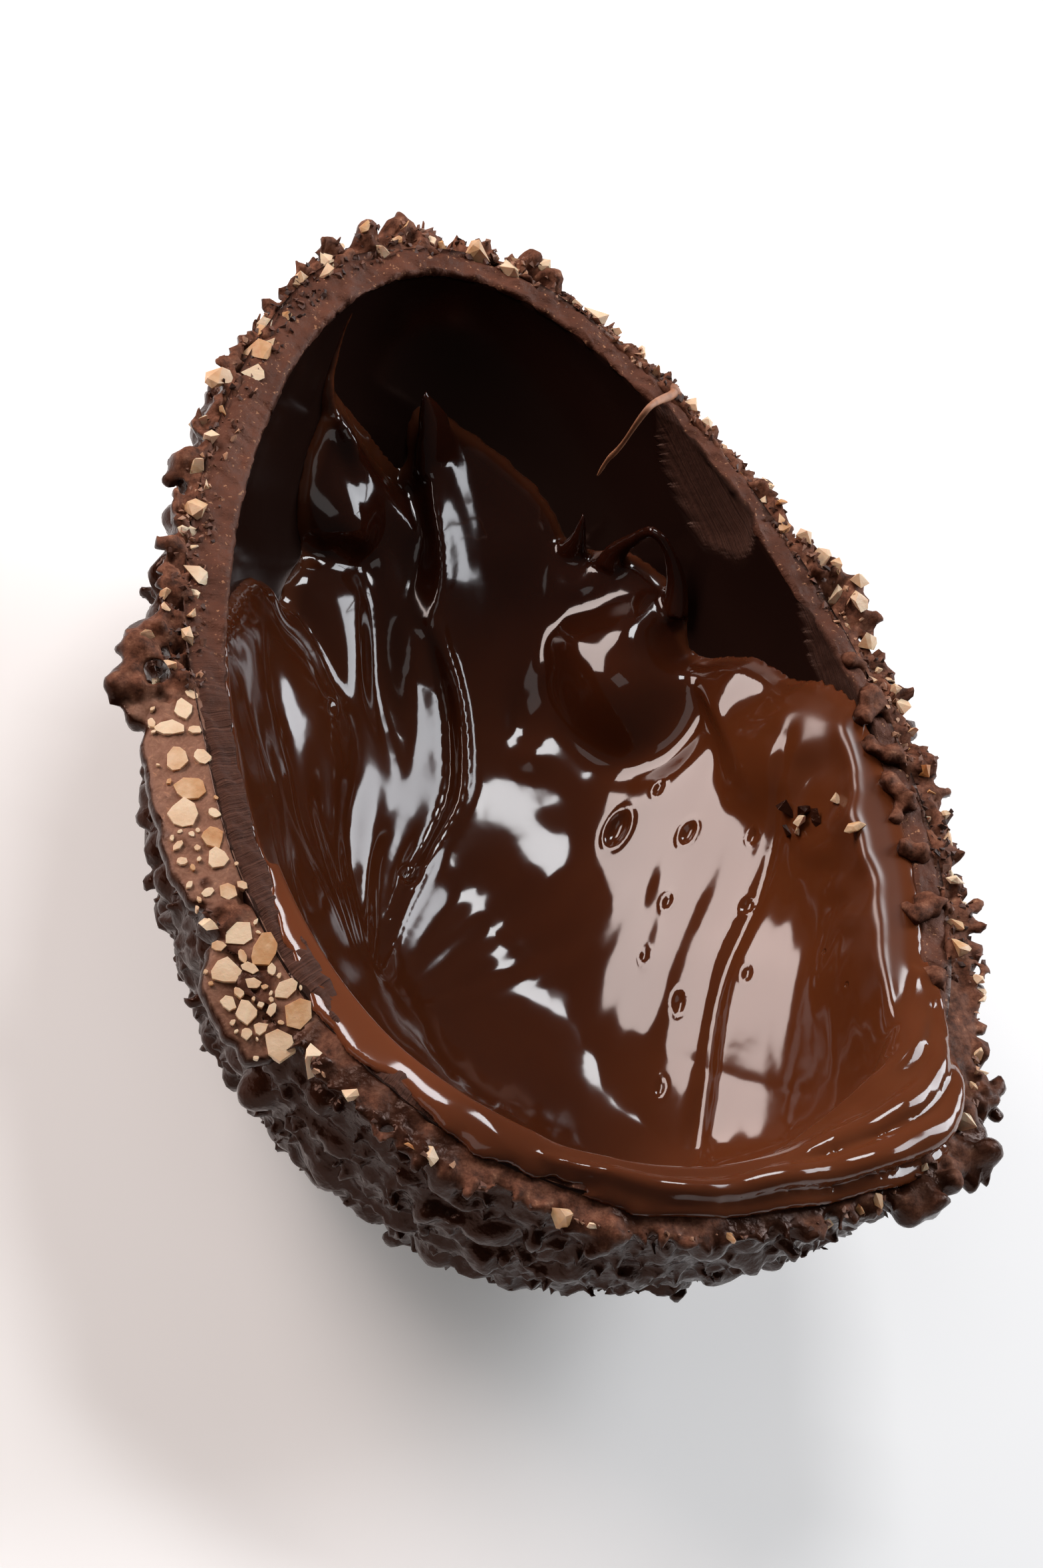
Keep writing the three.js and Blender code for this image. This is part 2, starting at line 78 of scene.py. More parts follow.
def egg_places(count):
    """Unit vectors spread evenly over the lower half sphere, in a square of (count + 1) a side."""
    step = np.linspace(-1, 1, count + 1)
    u, v = np.meshgrid(step, step, indexing="ij")
    return square_to_half_sphere(u.ravel(), v.ravel())


def square_to_half_sphere(u, v):
    wide = np.abs(u) > np.abs(v)
    radius = np.where(wide, u, v)
    safe_u = np.where(u == 0, 1, u)
    safe_v = np.where(v == 0, 1, v)
    turn = np.where(wide, np.pi / 4 * v / safe_u, np.pi / 2 - np.pi / 4 * u / safe_v)
    spread = radius * np.sqrt(2 - radius**2)
    return np.stack([np.cos(turn) * spread, np.sin(turn) * spread, radius**2 - 1], 1)


def border_ring(count):
    """Numbers of the square's border places, counter-clockwise seen from above."""
    n = np.arange(count)
    side = count + 1
    return np.concatenate([n * side, count * side + n, (count - n) * side + count, count - n])


def width_at(along):
    """The egg's width at a share of its half-length, as a share of its widest."""
    return np.exp(-TAPER * along) / WIDEST_RADIUS


def egg_points(places, inset):
    """Points at a depth below the egg's outer surface; inset is one number or one a place."""
    width = width_at(places[:, 1])
    radius = HALF_WIDTH - inset
    return np.stack([
        radius * width * places[:, 0],
        (HALF_LENGTH - inset) * places[:, 1],
        radius * BACK_DEPTH_SHARE * width * places[:, 2],
    ], 1)


def rim_places(bearings):
    turn = np.radians(np.atleast_1d(bearings))
    return np.stack([np.cos(turn), np.sin(turn), np.zeros_like(turn)], 1)


def bearing_of(places):
    return np.degrees(np.arctan2(places[:, 1], places[:, 0])) % 360


def below_rim(places):
    """Millimetres down the hollow's wall from the rim."""
    return HOLLOW_WIDTH * np.arcsin(np.clip(-places[:, 2], 0, 1))


def smooth(low, high, value):
    t = np.clip((value - low) / (high - low), 0, 1)
    return t * t * (3 - 2 * t)


def degrees_from(bearings, middle):
    return (bearings - middle + 540) % 360 - 180


def sector(bearings, start, end, fade=6.0):
    """1 between two rim bearings, fading out over `fade` degrees."""
    apart = np.abs(degrees_from(bearings, (start + end) / 2))
    half = (end - start) / 2
    return 1 - smooth(half - fade / 2, half + fade / 2, apart)


def wave_noise(points, size, seed, octaves=2):
    """Smooth noise from -1 to 1 made of crossing waves about `size` millimetres long."""
    random = np.random.default_rng(seed)
    total = np.zeros(len(points))
    weight = 0
    for octave in range(octaves):
        strength = 0.5**octave
        for _ in range(7):
            direction = random.normal(size=3)
            direction *= 2 * np.pi / (size * 0.5**octave * random.uniform(0.75, 1.5))
            direction /= np.linalg.norm(random.normal(size=3)) + 0.6
            total += strength * np.sin(points @ direction + random.uniform(0, 2 * np.pi))
        weight += strength * 2.6
    return np.clip(total / weight, -1, 1)


def grid_faces(count, start=0):
    side = count + 1
    i, j = np.meshgrid(np.arange(count), np.arange(count), indexing="ij")
    corner = (start + i * side + j).ravel()
    return np.stack([corner, corner + 1, corner + side + 1, corner + side], 1)


def strip_faces(lower, upper):
    """Faces between two closed rings of point numbers."""
    return np.stack([lower, np.roll(lower, -1), np.roll(upper, -1), upper], 1)


def bowl(outer, rows, inner, count):
    """A closed bowl: its outer face, the rings of points across its rim, and its inner face."""
    ring = border_ring(count)
    starts = len(outer) + len(ring) * np.arange(len(rows) + 1)
    rings = [ring, *(start + np.arange(len(ring)) for start in starts[:-1]), starts[-1] + ring]
    faces = [grid_faces(count), grid_faces(count, starts[-1])[:, ::-1]]
    faces += [strip_faces(lower, upper) for lower, upper in zip(rings, rings[1:])]
    return np.concatenate([outer, *rows, inner]), np.concatenate(faces)


def mesh_piece(name, points, faces, slot=None):
    """A mesh object from egg-frame millimetres, faces outward, riding on the one body."""
    mesh = bpy.data.meshes.new(name)
    placed = np.asarray(points, float) * MILLIMETRE + np.array(EGG_MIDDLE)
    mesh.from_pydata(placed.tolist(), [], [list(map(int, face)) for face in faces])
    mesh.validate()
    edit = bmesh.new()
    edit.from_mesh(mesh)
    bmesh.ops.recalc_face_normals(edit, faces=edit.faces)
    edit.to_mesh(mesh)
    edit.free()
    piece = bpy.data.objects.new(name, mesh)
    bpy.context.scene.collection.objects.link(piece)
    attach(piece, "root")
    return piece


def paint(piece, name, values):
    """Keeps one number a point on the mesh, for a material to read."""
    layer = piece.data.attributes.new(name, "FLOAT", "POINT")
    layer.data.foreach_set("value", np.asarray(values, np.float32))


class Finish:
    """A material's nodes, with short calls for the few kinds that chocolate needs."""

    def __init__(self, name):
        self.material = bpy.data.materials.new(name)
        self.material.use_nodes = True
        self.nodes = self.material.node_tree.nodes
        self.surface = self.nodes["Principled BSDF"]
        self.place = self.nodes.new("ShaderNodeTexCoord").outputs["Object"]

    def feed(self, sockets, values):
        """Joins a node's output to a socket, or sets the socket to a colour or number."""
        for name, value in values.items():
            socket = sockets[name.replace("_", " ")] if isinstance(name, str) else sockets[name]
            if isinstance(value, bpy.types.NodeSocket):
                self.material.node_tree.links.new(value, socket)
            elif socket.type == "RGBA":
                socket.default_value = self.solid(value)
            else:
                socket.default_value = value

    def solid(self, colour):
        """A full colour from three numbers, or a grey from one."""
        return (*(colour if np.ndim(colour) else (colour,) * 3), 1)

    def set(self, **values):
        self.feed(self.surface.inputs, values)

    def node(self, kind, **values):
        node = self.nodes.new("ShaderNode" + kind)
        self.feed(node.inputs, values)
        return node

    def noise(self, scale, detail=3.0, roughness=0.6, distortion=0.0):
        return self.node("TexNoise", Vector=self.place, Scale=scale, Detail=detail,
                         Roughness=roughness, Distortion=distortion).outputs["Fac"]

    def streaks(self, along, scale):
        """Uneven streaks across a painted run of numbers."""
        node = self.node("TexNoise", Scale=scale, Detail=4.0, Roughness=0.7)
        node.noise_dimensions = "1D"
        self.feed(node.inputs, {"W": along})
        return node.outputs["Fac"]

    def cells(self, scale):
        return self.node("TexVoronoi", Vector=self.place, Scale=scale).outputs["Distance"]

    def painted(self, name):
        node = self.node("Attribute")
        node.attribute_name = name
        return node.outputs["Fac"]

    def ramp(self, value, *stops):
        """Colours or greys along a value: stops are (position, colour or number)."""
        node = self.node("ValToRGB", Fac=value)
        elements = node.color_ramp.elements
        while len(elements) < len(stops):
            elements.new(0.5)
        for element, (position, colour) in zip(elements, stops):
            element.position = position
            element.color = self.solid(colour)
        return node.outputs["Color"]

    def mix(self, share, first, second):
        node = self.nodes.new("ShaderNodeMix")
        node.data_type = "RGBA"
        colours = [n for n, socket in enumerate(node.inputs) if socket.type == "RGBA"]
        self.feed(node.inputs, dict(zip([0, *colours], (share, first, second))))
        return next(socket for socket in node.outputs if socket.type == "RGBA")

    def sum(self, first, second, kind="ADD"):
        node = self.nodes.new("ShaderNodeMath")
        node.operation = kind
        self.feed(node.inputs, {0: first, 1: second})
        return node.outputs[0]

    def times(self, first, second):
        return self.sum(first, second, "MULTIPLY")

    def bump(self, height, depth, **after):
        """A surface raised by up to `depth` millimetres, over another one where that is given."""
        return self.node("Bump", Height=height, Distance=depth * MILLIMETRE, **after).outputs["Normal"]

    def dress(self, piece):
        piece.data.materials.clear()
        piece.data.materials.append(self.material)


SHELL_GRID = 205
SHELL_SUNK = 0.4  # how far its outside reaches into the coat
RIM_RINGS = 11
WIDE_BAND = (108, 178, 24)  # where the broken edge shows wide: from, to, fade, in degrees
WIDE_BAND_EXTRA = 3.2  # millimetres
DARK_EDGE = (178, 245, 14)  # where the broken edge is scuffed dark: from, to, fade
# Patches scraped out of the inner edge: bearing, half-span in degrees, reach down the wall, depth
SCRAPES = [(35.5, 10.5, 13.0, 1.5), (6.0, 11.0, 7.5, 1.1)]
RIB_HEIGHT = 0.12

INSIDE_DARK = (0.0105, 0.0042, 0.0030)
INSIDE_LIGHT = (0.0140, 0.0058, 0.0042)
BROKEN_DARK = (0.060, 0.020, 0.0115)
BROKEN_LIGHT = (0.108, 0.039, 0.023)
BROKEN_ROUGHNESS = 0.6
FLECKS = (0.330, 0.160, 0.085)
SCRAPED_DARK = (0.036, 0.014, 0.010)
SCRAPED = (0.080, 0.033, 0.022)
SCRAPED_LIGHT = (0.125, 0.060, 0.043)
WARM_GLOSS = (1.0, 0.62, 0.49)
SHELL_SHINE = 0.38
CHOCOLATE_IOR = 1.46


def scrape_shares(places):
    """How deep each scraped patch is at a place, from 0 to 1, and the strokes across it."""
    below = below_rim(places)
    bearings = bearing_of(places)
    frayed = 0.09 * wave_noise(egg_points(places, 0), 5, 12)
    shares, strokes = [], np.zeros(len(places))
    for bearing, half_span, reach, _ in SCRAPES:
        across = degrees_from(bearings, bearing) / half_span
        down = below / reach
        lean = across + 0.35 * (down - 0.4)
        inside = 1 - np.clip(lean**2 + (down - 0.1) ** 2 * 1.15 + frayed, 0, 1)
        shares.append(smooth(0, 0.5, inside))
        sweep = 9 * np.hypot(lean + 0.9, 1.5 * (down + 0.7))
        strokes = np.where(np.hypot(across, down) < 1.8, sweep, strokes)
    return shares, strokes


def make_shell():
    places = egg_places(SHELL_GRID)
    below = below_rim(places)
    wide = WIDE_BAND_EXTRA * sector(bearing_of(places), *WIDE_BAND)
    outer_inset = COAT_THICKNESS - SHELL_SUNK - wide * (1 - smooth(0, 5, below))
    patches, strokes = scrape_shares(places)
    taken = sum(patch * depth for patch, (*_, depth) in zip(patches, SCRAPES))
    ribs = RIB_HEIGHT * np.sin(strokes * 3.1 + 1.2 * wave_noise(egg_points(places, 0), 6, 8))
    inner = egg_points(places, HOLLOW_INSET - taken - ribs * smooth(0.5, 1.1, taken))
    ring = border_ring(SHELL_GRID)
    rim = places[ring]
    inner_edge = egg_points(rim, HOLLOW_INSET)
    ragged = 0.8 * wave_noise(inner_edge, 7, 3) + 0.4 * wave_noise(inner_edge, 2.4, 9)
    end_inset = HOLLOW_INSET - taken[ring] - 0.6 * np.clip(ragged, -0.3, 1)
    start_inset = outer_inset[ring] + 0.5 * wave_noise(inner_edge, 5, 10)
    rows = []
    for share in np.arange(1, RIM_RINGS) / RIM_RINGS:
        row = egg_points(rim, start_inset + share * (end_inset - start_inset))
        row[:, 2] = 0.5 * wave_noise(row, 7, 4) + 0.32 * wave_noise(row, 2.2, 5)
        row[:, 2] += 0.35 * smooth(0.7, 0.95, share) * np.clip(wave_noise(row, 5, 6), -0.2, 1)
        row[:, 2] -= 0.8 * (1 - smooth(0, 0.25, share))
        rows.append(row)
    inner[ring, 2] = -0.7 + 0.3 * ragged
    inner[ring, :2] = egg_points(rim, end_inset)[:, :2]
    outer = egg_points(places, outer_inset)
    shell = mesh_piece("shell_chocolate", *bowl(outer, rows, inner, SHELL_GRID), "shell")
    scraped = np.maximum(smooth(0.1, 0.5, patches[0]), 0.8 * smooth(0.1, 0.5, patches[1]))
    marks = {  # on the rim and on the inside
        "broken": (np.ones(len(rim)), 1 - smooth(0, 0.8, below)),
        "scraped": (0.85 * sector(bearing_of(rim), *DARK_EDGE), scraped),
        "strokes": (1.1 * bearing_of(rim), strokes),
    }
    for name, (on_rim, inside) in marks.items():
        paint(shell, name, np.concatenate([np.zeros(len(places)), np.tile(on_rim, len(rows)), inside]))
    shell.data.shade_smooth()
    return shell


def shell_finish():
    finish = Finish("tempered_dark_chocolate")
    broken = finish.painted("broken")
    scraped = finish.painted("scraped")
    matte = finish.sum(broken, scraped, "MAXIMUM")
    patches = finish.ramp(finish.noise(110, 4), (0.38, 0.0), (0.62, 1.0))
    flecks = finish.ramp(finish.noise(1300), (0.62, 0.0), (0.68, 1.0))
    rim_colour = finish.mix(flecks, finish.mix(patches, BROKEN_DARK, BROKEN_LIGHT), FLECKS)
    inside = finish.mix(finish.noise(60, 2), INSIDE_DARK, INSIDE_LIGHT)
    strokes = finish.streaks(finish.painted("strokes"), 2.6)
    scraped_colour = finish.ramp(strokes, (0.35, SCRAPED_DARK), (0.6, SCRAPED), (0.75, SCRAPED_LIGHT))
    scuffs = finish.ramp(finish.noise(28, 5, 0.65), (0.45, 0.19), (0.75, 0.30))
    grain = finish.bump(finish.times(finish.noise(700, 4, 0.65), matte), 0.35)
    finish.set(
        Base_Color=finish.mix(scraped, finish.mix(broken, inside, rim_colour), scraped_colour),
        Roughness=finish.mix(matte, scuffs, BROKEN_ROUGHNESS),
        Normal=finish.bump(finish.times(strokes, scraped), 0.5, Normal=grain),
        IOR=CHOCOLATE_IOR, Specular_IOR_Level=SHELL_SHINE, Specular_Tint=WARM_GLOSS,
    )
    return finish


shell = make_shell()
shell_finish().dress(shell)
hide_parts("shell")

# ---------------------------------------------------------------------------------------------
# The cream
# Soft, glossy hazelnut cream, spread round the hollow with a spatula. It thins out up the wall,
# stands in lobes and pulled-up peaks towards the narrow end, and laps over the rim at the wide
# end, where it was squeezed when the egg broke.
# ---------------------------------------------------------------------------------------------
CREAM_GRID = 300
CREAM_BELLY = 8.5
CREAM_EDGE_HEIGHT = 4.6
CREAM_EDGE_WIDTH = 3.4
CREAM_SOFTENING = 14  # passes that even out the broad forms
CREAM_ROUNDING = 30  # passes that round its edge on the right
CREAM_RIM_WIDTH = 26.0  # it thins towards the rim over this much of the wall
CREAM_SINK = 0.6  # how far its underside reaches into the shell, so that no gap shows
CREAM_VOXEL = 0.58
CREAM_OVER_RIM = (205, 330)  # from and to, round the rim
CREAM_HEAPED = (236, 330, 16)  # where it is heaped on the lip: from, to, fade
CREAM_LEVEL = (318, 378, 30)  # where it ends level with the rim, with most of its depth left
CREAM_LEVEL_SHARE = 0.85
CREAM_ROUNDED = (322, 382, 8)
CREAM_FILMED = (205, 240, 14)  # where only a film of it is left on the rim

# Edge of the spread cream, unrolled: millimetres across and along the wall from its bottom
CREAM_OUTLINE = [
    (-120, 6), (-84, 14), (-66, 30), (-50, 44), (-44, 48), (-38, 48), (-33, 45), (-31, 50),
    (-27, 55), (-28, 60), (-30, 66), (-30, 74), (-28, 83), (-25, 88), (-20, 86), (-14, 80),
    (-8, 75), (-3, 73), (-0.5, 78), (-1.2, 84), (0.5, 89), (4.5, 90.5), (8.5, 89),
    (12.5, 86.5), (20, 82), (27, 76), (32, 69), (35, 62.5), (40, 60.5), (45, 60), (50, 57),
    (54.5, 50), (54.5, 42), (56, 36), (61, 34), (67, 31.5), (71, 27), (74, 23.5), (79, 20),
    (83, 15), (92, 3), (130, -10), (130, -170), (-130, -170),
]

# Soft rises and hollows: middle, half-axes, turn in degrees, height
CREAM_SWELLS = [
    ((43, 35), (19, 19), 0, 8), ((48.5, 45), (8, 8), 0, 2.0), ((33, 43), (7, 7), 0, 1.6),
    ((-31, 25), (15, 24), 8, 2.6), ((-20, 42), (11, 18), -4, 1.6), ((-10, 36), (7, 22), 4, -2.2),
    ((14, 4), (15, 17), -10, 1.7), ((20.5, 29), (5.5, 9), -8, -1.8), ((21, 21), (5, 5), 0, 1.0),
    ((-21, 66), (13, 13), -10, 4.0), ((-15, 61.5), (5, 4), 0, 1.4), ((-23, 84), (5, 9), 20, 1.6),
    ((22, 62), (9, 8), 0, 1.2), ((36, 56), (7, 6), 0, 2.2), ((42, -30), (26, 58), -6, 4.0),
    ((24, -6), (5, 5), 0, 0.4), ((23, 11), (4, 4), 0, 0.5), ((-34, -16), (14, 24), 0, 1.4),
    ((30, -100), (46, 72), 0, -12.0), ((6, -36), (22, 26), 0, 0.9),
    ((36, 14), (10, 9), 0, -0.8), ((21, -15), (16, 21), -6, 1.9), ((73, 5), (17, 20), 0, 3.0),
    ((86, 8), (13, 14), 0, 2.2), ((76, -24), (20, 30), 0, 0.8),
]

# Ridges drawn up by the spatula. Each station: across, along, height, reach to its left and right
CREAM_RIDGES = [
    [(1.5, 88, 1.2, 2, 8), (2, 79, 4.0, 2.2, 15), (2.3, 71, 6.0, 2.4, 17), (3, 64, 6.6, 2.8, 19),
     (3, 57, 6.0, 4, 19), (1.5, 50, 4.4, 6, 17), (-1, 43, 2.2, 7, 14), (-4, 36, 0.6, 6, 9)],
    [(2, 46, 0.5, 3, 3), (5.5, 38, 1.4, 2, 3.4), (6.8, 30, 1.6, 1.8, 4), (6.2, 20, 1.5, 1.8, 4),
     (4, 12, 1.3, 1.8, 3.6), (-3, 3, 1.2, 1.8, 3.4), (-10, -7, 1.0, 2, 3.4), (-19, -24, 0.4, 2, 3)],
    [(-2, 47, -0.5, 4, 1.5), (2, 40, -1.3, 8, 1.5), (4.8, 32, -2.0, 10, 1.5),
     (4.6, 24, -1.9, 10, 1.6), (2.6, 15, -1.7, 9, 1.8), (-4, 4, -1.8, 9, 2), (-11, -6, -1.2, 8, 2),
     (-19, -22, -0.4, 5, 2)],
    [(57, 33, 0.8, 2.5, 20), (58.5, 27, 2.4, 2.6, 26), (61, 19, 2.6, 3.2, 30),
     (63, 11, 2.2, 5, 30), (65, 2, 1.4, 8, 30), (67, -8, 0.5, 9, 26)],
]

# A thread of cream drawn up the bare wall, in the same terms
CREAM_THREAD = [
    (-31, 122, 1.0, 1.0, 1.0), (-30, 112, 1.2, 1.1, 1.1), (-29, 102, 1.5, 1.2, 1.2),
    (-27.5, 92, 2.5, 2.2, 2.4), (-22, 84, 3.4, 4.5, 6), (-14, 77, 3.8, 8, 7), (-8, 72, 3.6, 10, 7),
    (-2, 66, 2.2, 8, 5), (1, 60, 0.8, 6, 4),
]

# Narrow valleys between the forms: path, half-width, depth
CREAM_VALLEYS = [
    ([(57, 30), (52, 21), (44, 17), (36, 18), (29, 25), (26, 33)], 4.2, 1.5),
    ([(-34, 57), (-24, 57.5), (-12, 57)], 2.0, 5.0),
    ([(-34, 52), (-28, 43), (-24, 33)], 3.0, 1.5),
]

# Peaks pulled up off the wall: across, along, lift, half-width, half-thickness, lean to the left
CREAM_PEAKS = [
    [(4.2, 77, 3.6, 3.4, 2.4, 30), (3.6, 84, 5.2, 3.8, 2.2, 32), (2.2, 90, 6.6, 3.4, 1.8, 34),
     (-0.4, 95, 7.8, 2.3, 1.3, 34), (-2.6, 99, 8.6, 1.2, 0.8, 34), (-4.1, 102, 9.2, 0.4, 0.3, 34)],
    [(35, 60, 2, 3, 2.4, 0), (37.5, 64, 4.5, 1.5, 1.4, 0), (39.5, 68.5, 6.5, 0.8, 0.7, 0),
     (40.5, 71.5, 7.5, 0.35, 0.35, 0)],
    [(43, 57, 2.5, 3, 2.4, 0), (46, 61, 4.5, 1.8, 1.5, 0), (51, 64, 6.5, 1.2, 1.1, 0),
     (56.5, 66.5, 8, 1.0, 0.9, 0), (58.5, 65, 7.5, 1.0, 0.9, 0), (58.8, 60, 5.5, 1.1, 1.1, 0),
     (57, 52, 3, 1.8, 1.6, 0), (54, 45, 2, 2.4, 2, 0)],
]

SPATULA_STROKE = 58  # degrees that the strokes on the broad side run from straight across
SPATULA_GROOVE = (-60.5, 1.5, 0.7)  # one deeper line: how far across the strokes, half-width, depth
FAN_MIDDLE = (-23, -33)
FAN_RIBS = (27, 11)  # fine and broad ribs, counted for a whole turn

# Open bubbles, drawn out along the spatula's stroke: across, along, radius
CREAM_BUBBLES = [
    (35, 4, 1.8), (45, 10, 0.8), (49, -3, 1.2), (36, -41, 0.9), (55, -26, 0.9), (41, -18, 0.8),
    (27, -52, 0.8), (61, -10, 0.8), (-27, 27, 1.0), (-8, -2, 1.2), (33, -28, 0.7), (50, -44, 0.8),
]
BUBBLE_LEAN = -0.8
BUBBLE_STRETCH = 1.9
BUBBLE_LIFT = 6.0  # roughly how far the cream's face stands in from the wall

# Cream smeared over the rim: bearing, reach outward past the wall, height above the rim
CREAM_LIP = [
    (203, 0.3, 0.3), (208, 2.2, 0.35), (214, 3.8, 0.4), (222, 4.4, 0.45), (229, 4.2, 0.5),
    (235, 4.4, 0.7), (241, 4.8, 1.0), (247, 4.6, 1.3), (253, 4.6, 1.4), (260, 4.8, 1.7),
    (268, 5.0, 1.8), (276, 4.8, 1.9), (284, 5.4, 2.1), (291, 6.6, 2.4), (298, 8.2, 2.8),
    (304, 9.6, 2.9), (310, 9.0, 2.6), (316, 6.5, 2.0), (322, 3.4, 1.4), (328, 0.5, 0.8),
]

# Folds of cream pushed over the lip: bearing, reach outward past the wall, height, thickness
CREAM_FOLDS = [
    [(252, 2.6, 1.2, 0.5), (262, 2.2, 1.8, 1.0), (272, 3.4, 2.0, 1.2), (282, 3.0, 2.6, 1.5),
     (292, 5.0, 3.0, 1.6), (300, 7.4, 3.4, 1.9), (308, 9.4, 2.4, 2.0), (315, 8.2, 0.8, 1.7),
     (320, 6.4, -0.6, 0.8)],
    [(276, 0.2, 0.6, 0.5), (286, 0.6, 1.6, 1.1), (296, 1.4, 2.6, 1.6), (304, 3.6, 3.2, 1.7),
     (312, 5.0, 2.4, 1.7), (320, 4.4, 1.2, 1.3), (327, 2.6, 0.6, 0.6)],
    [(288, -2.6, -1.4, 0.4), (297, -2.4, -0.4, 1.0), (306, -1.2, 0.8, 1.4), (314, 0.6, 1.4, 1.4),
     (322, 1.4, 0.8, 1.0), (330, 1.2, 0.2, 0.4)],
    [(258, 5.2, -0.6, 0.4), (270, 5.6, 0.0, 0.9), (282, 5.8, 0.2, 1.0), (293, 7.8, 0.0, 1.1),
     (303, 10.6, -0.6, 1.4), (310, 11.2, -2.0, 1.2), (316, 9.4, -3.2, 0.5)],
]

# The darkest and lightest cream colours are painted shade and painted light: the painted shading runs
# from the shaded narrow end to the lit right side.
CREAM_PAINTED_SHADE = (0.020, 0.0046, 0.0020)
CREAM_BODY = (0.056, 0.0132, 0.0043)
CREAM_PAINTED_LIGHT = (0.102, 0.0262, 0.0078)
CREAM_FILM = (0.150, 0.0420, 0.0160)
CREAM_DULL = 0.27
CREAM_IOR = 1.47
CREAM_SCATTER = (1.0, 0.32, 0.14)
CREAM_SCATTER_REACH = 0.003  # metres


def unrolled(places):
    """Millimetres across and along the hollow's wall, from its bottom."""
    from_bottom = np.arccos(np.clip(-places[:, 2], -1, 1))
    turn = np.arctan2(places[:, 1], places[:, 0])
    return np.stack([from_bottom * HOLLOW_WIDTH * np.cos(turn),
                     from_bottom * HOLLOW_LENGTH * np.sin(turn)], 1)


def wall_points(flat, lift):
    """Points over the wall for unrolled millimetres, at a lift in from it."""
    x, y = (np.asarray(flat, float) / (HOLLOW_WIDTH, HOLLOW_LENGTH)).T
    from_bottom = np.maximum(np.hypot(x, y), 1e-9)
    spread = np.sin(from_bottom) / from_bottom
    places = np.stack([x * spread, y * spread, -np.cos(from_bottom)], 1)
    return egg_points(places, HOLLOW_INSET + np.asarray(lift))


def points_at_rim(bearings, inset, height):
    """Points by rim bearing, depth in from the egg's outline and height above the rim."""
    bearings, inset = np.broadcast_arrays(bearings, inset)
    points = egg_points(rim_places(bearings), inset)
    points[:, 2] = height
    return points


def unit(vectors):
    return vectors / np.linalg.norm(vectors, axis=-1, keepdims=True)


def smooth_path(stations, per_span, closed=False):
    """Stations joined by a Catmull-Rom curve, each with any number of values."""
    stations = np.asarray(stations, float)
    if closed:
        padded = np.concatenate([stations[-1:], stations, stations[:2]])
    else:
        first = 2 * stations[0] - stations[1]
        last = 2 * stations[-1] - stations[-2]
        padded = np.concatenate([[first], stations, [last]])
    share = np.arange(per_span)[:, None] / per_span
    spans = []
    for a, b, c, d in zip(padded, padded[1:], padded[2:], padded[3:]):
        spans.append(0.5 * (
            2 * b + (c - a) * share + (2 * a - 5 * b + 4 * c - d) * share**2
            + (3 * b - a - 3 * c + d) * share**3
        ))
    if not closed:
        spans.append(stations[-1:])
    return np.concatenate(spans)


def distance_to_path(points, path, closed=False):
    nearest = np.full(len(points), np.inf)
    ends = np.roll(path, -1, axis=0) if closed else path[1:]
    for start, end in zip(path, ends):
        edge = end - start
        offset = points - start
        share = np.clip(offset @ edge / (edge @ edge), 0, 1)
        nearest = np.minimum(nearest, np.linalg.norm(offset - share[:, None] * edge, axis=1))
    return nearest


def inside_outline(points, outline):
    """Distance in from a closed outline, negative outside it."""
    inside = np.zeros(len(points), bool)
    for start, end in zip(outline, np.roll(outline, -1, axis=0)):
        crosses = (start[1] > points[:, 1]) != (end[1] > points[:, 1])
        rise = end[1] - start[1] if end[1] != start[1] else 1e-9
        at = start[0] + (points[:, 1] - start[1]) / rise * (end[0] - start[0])
        inside ^= crosses & (points[:, 0] < at)
    distance = distance_to_path(points, outline, closed=True)
    return np.where(inside, distance, -distance)


def swell_height(points, middle, axes, turn, height):
    angle = math.radians(-turn)
    x, y = (points - np.array(middle, float)).T
    distance = np.hypot((x * math.cos(angle) - y * math.sin(angle)) / axes[0],
                        (x * math.sin(angle) + y * math.cos(angle)) / axes[1])
    return height * np.clip(1 - distance**2, 0, 1) ** 2


def ridge_height(flat, stations):
    """A ridge with its own slope on either side, steep where its reach is short."""
    path = smooth_path(stations, 10)
    away = flat[:, None, :] - path[None, :, :2]
    nearest = np.argmin((away**2).sum(2), axis=1)
    heading = np.gradient(path[:, :2], axis=0)[nearest]
    offset = away[np.arange(len(flat)), nearest]
    side = heading[:, 0] * offset[:, 1] - heading[:, 1] * offset[:, 0]
    height, left, right = path[nearest, 2:].T
    downhill = path[0, 1] > path[-1, 1]
    on_left = (side > 0) != downhill
    share = np.linalg.norm(offset, axis=1) / np.where(on_left, left, right)
    steep = np.where(on_left, 1.15, 1.7)
    crown = 1 - np.exp(-((share / 0.12) ** 2)) * 0.06
    return height * np.clip(1 - share, 0, 1) ** steep * crown


def spatula_marks(flat):
    """Faint streaks left by the spatula where it smoothed the broad side."""
    stroke = math.radians(SPATULA_STROKE)
    middle, half_width, depth = SPATULA_GROOVE
    across = -flat[:, 0] * math.sin(stroke) + flat[:, 1] * math.cos(stroke)
    along = flat[:, 0] * math.cos(stroke) + flat[:, 1] * math.sin(stroke)
    across = across + 1.6 * np.sin(along / 23) + 0.5 * np.sin(along / 11 + 1)
    fade = 0.5 + 0.5 * np.sin(along / 17 + across / 5)
    streaks = 0.02 * np.sin(across / 0.8) + 0.09 * np.sin(across / 1.9 + 1.3) * fade
    streaks += 0.24 * np.sin(across / 3.8 + 0.4) * np.cos(along / 26)
    groove = -depth * np.exp(-(((across - middle) / half_width) ** 2))
    where = smooth(0, 30, flat[:, 0] - flat[:, 1] - 25) * smooth(-110, -80, flat[:, 1])
    return (streaks + groove) * where


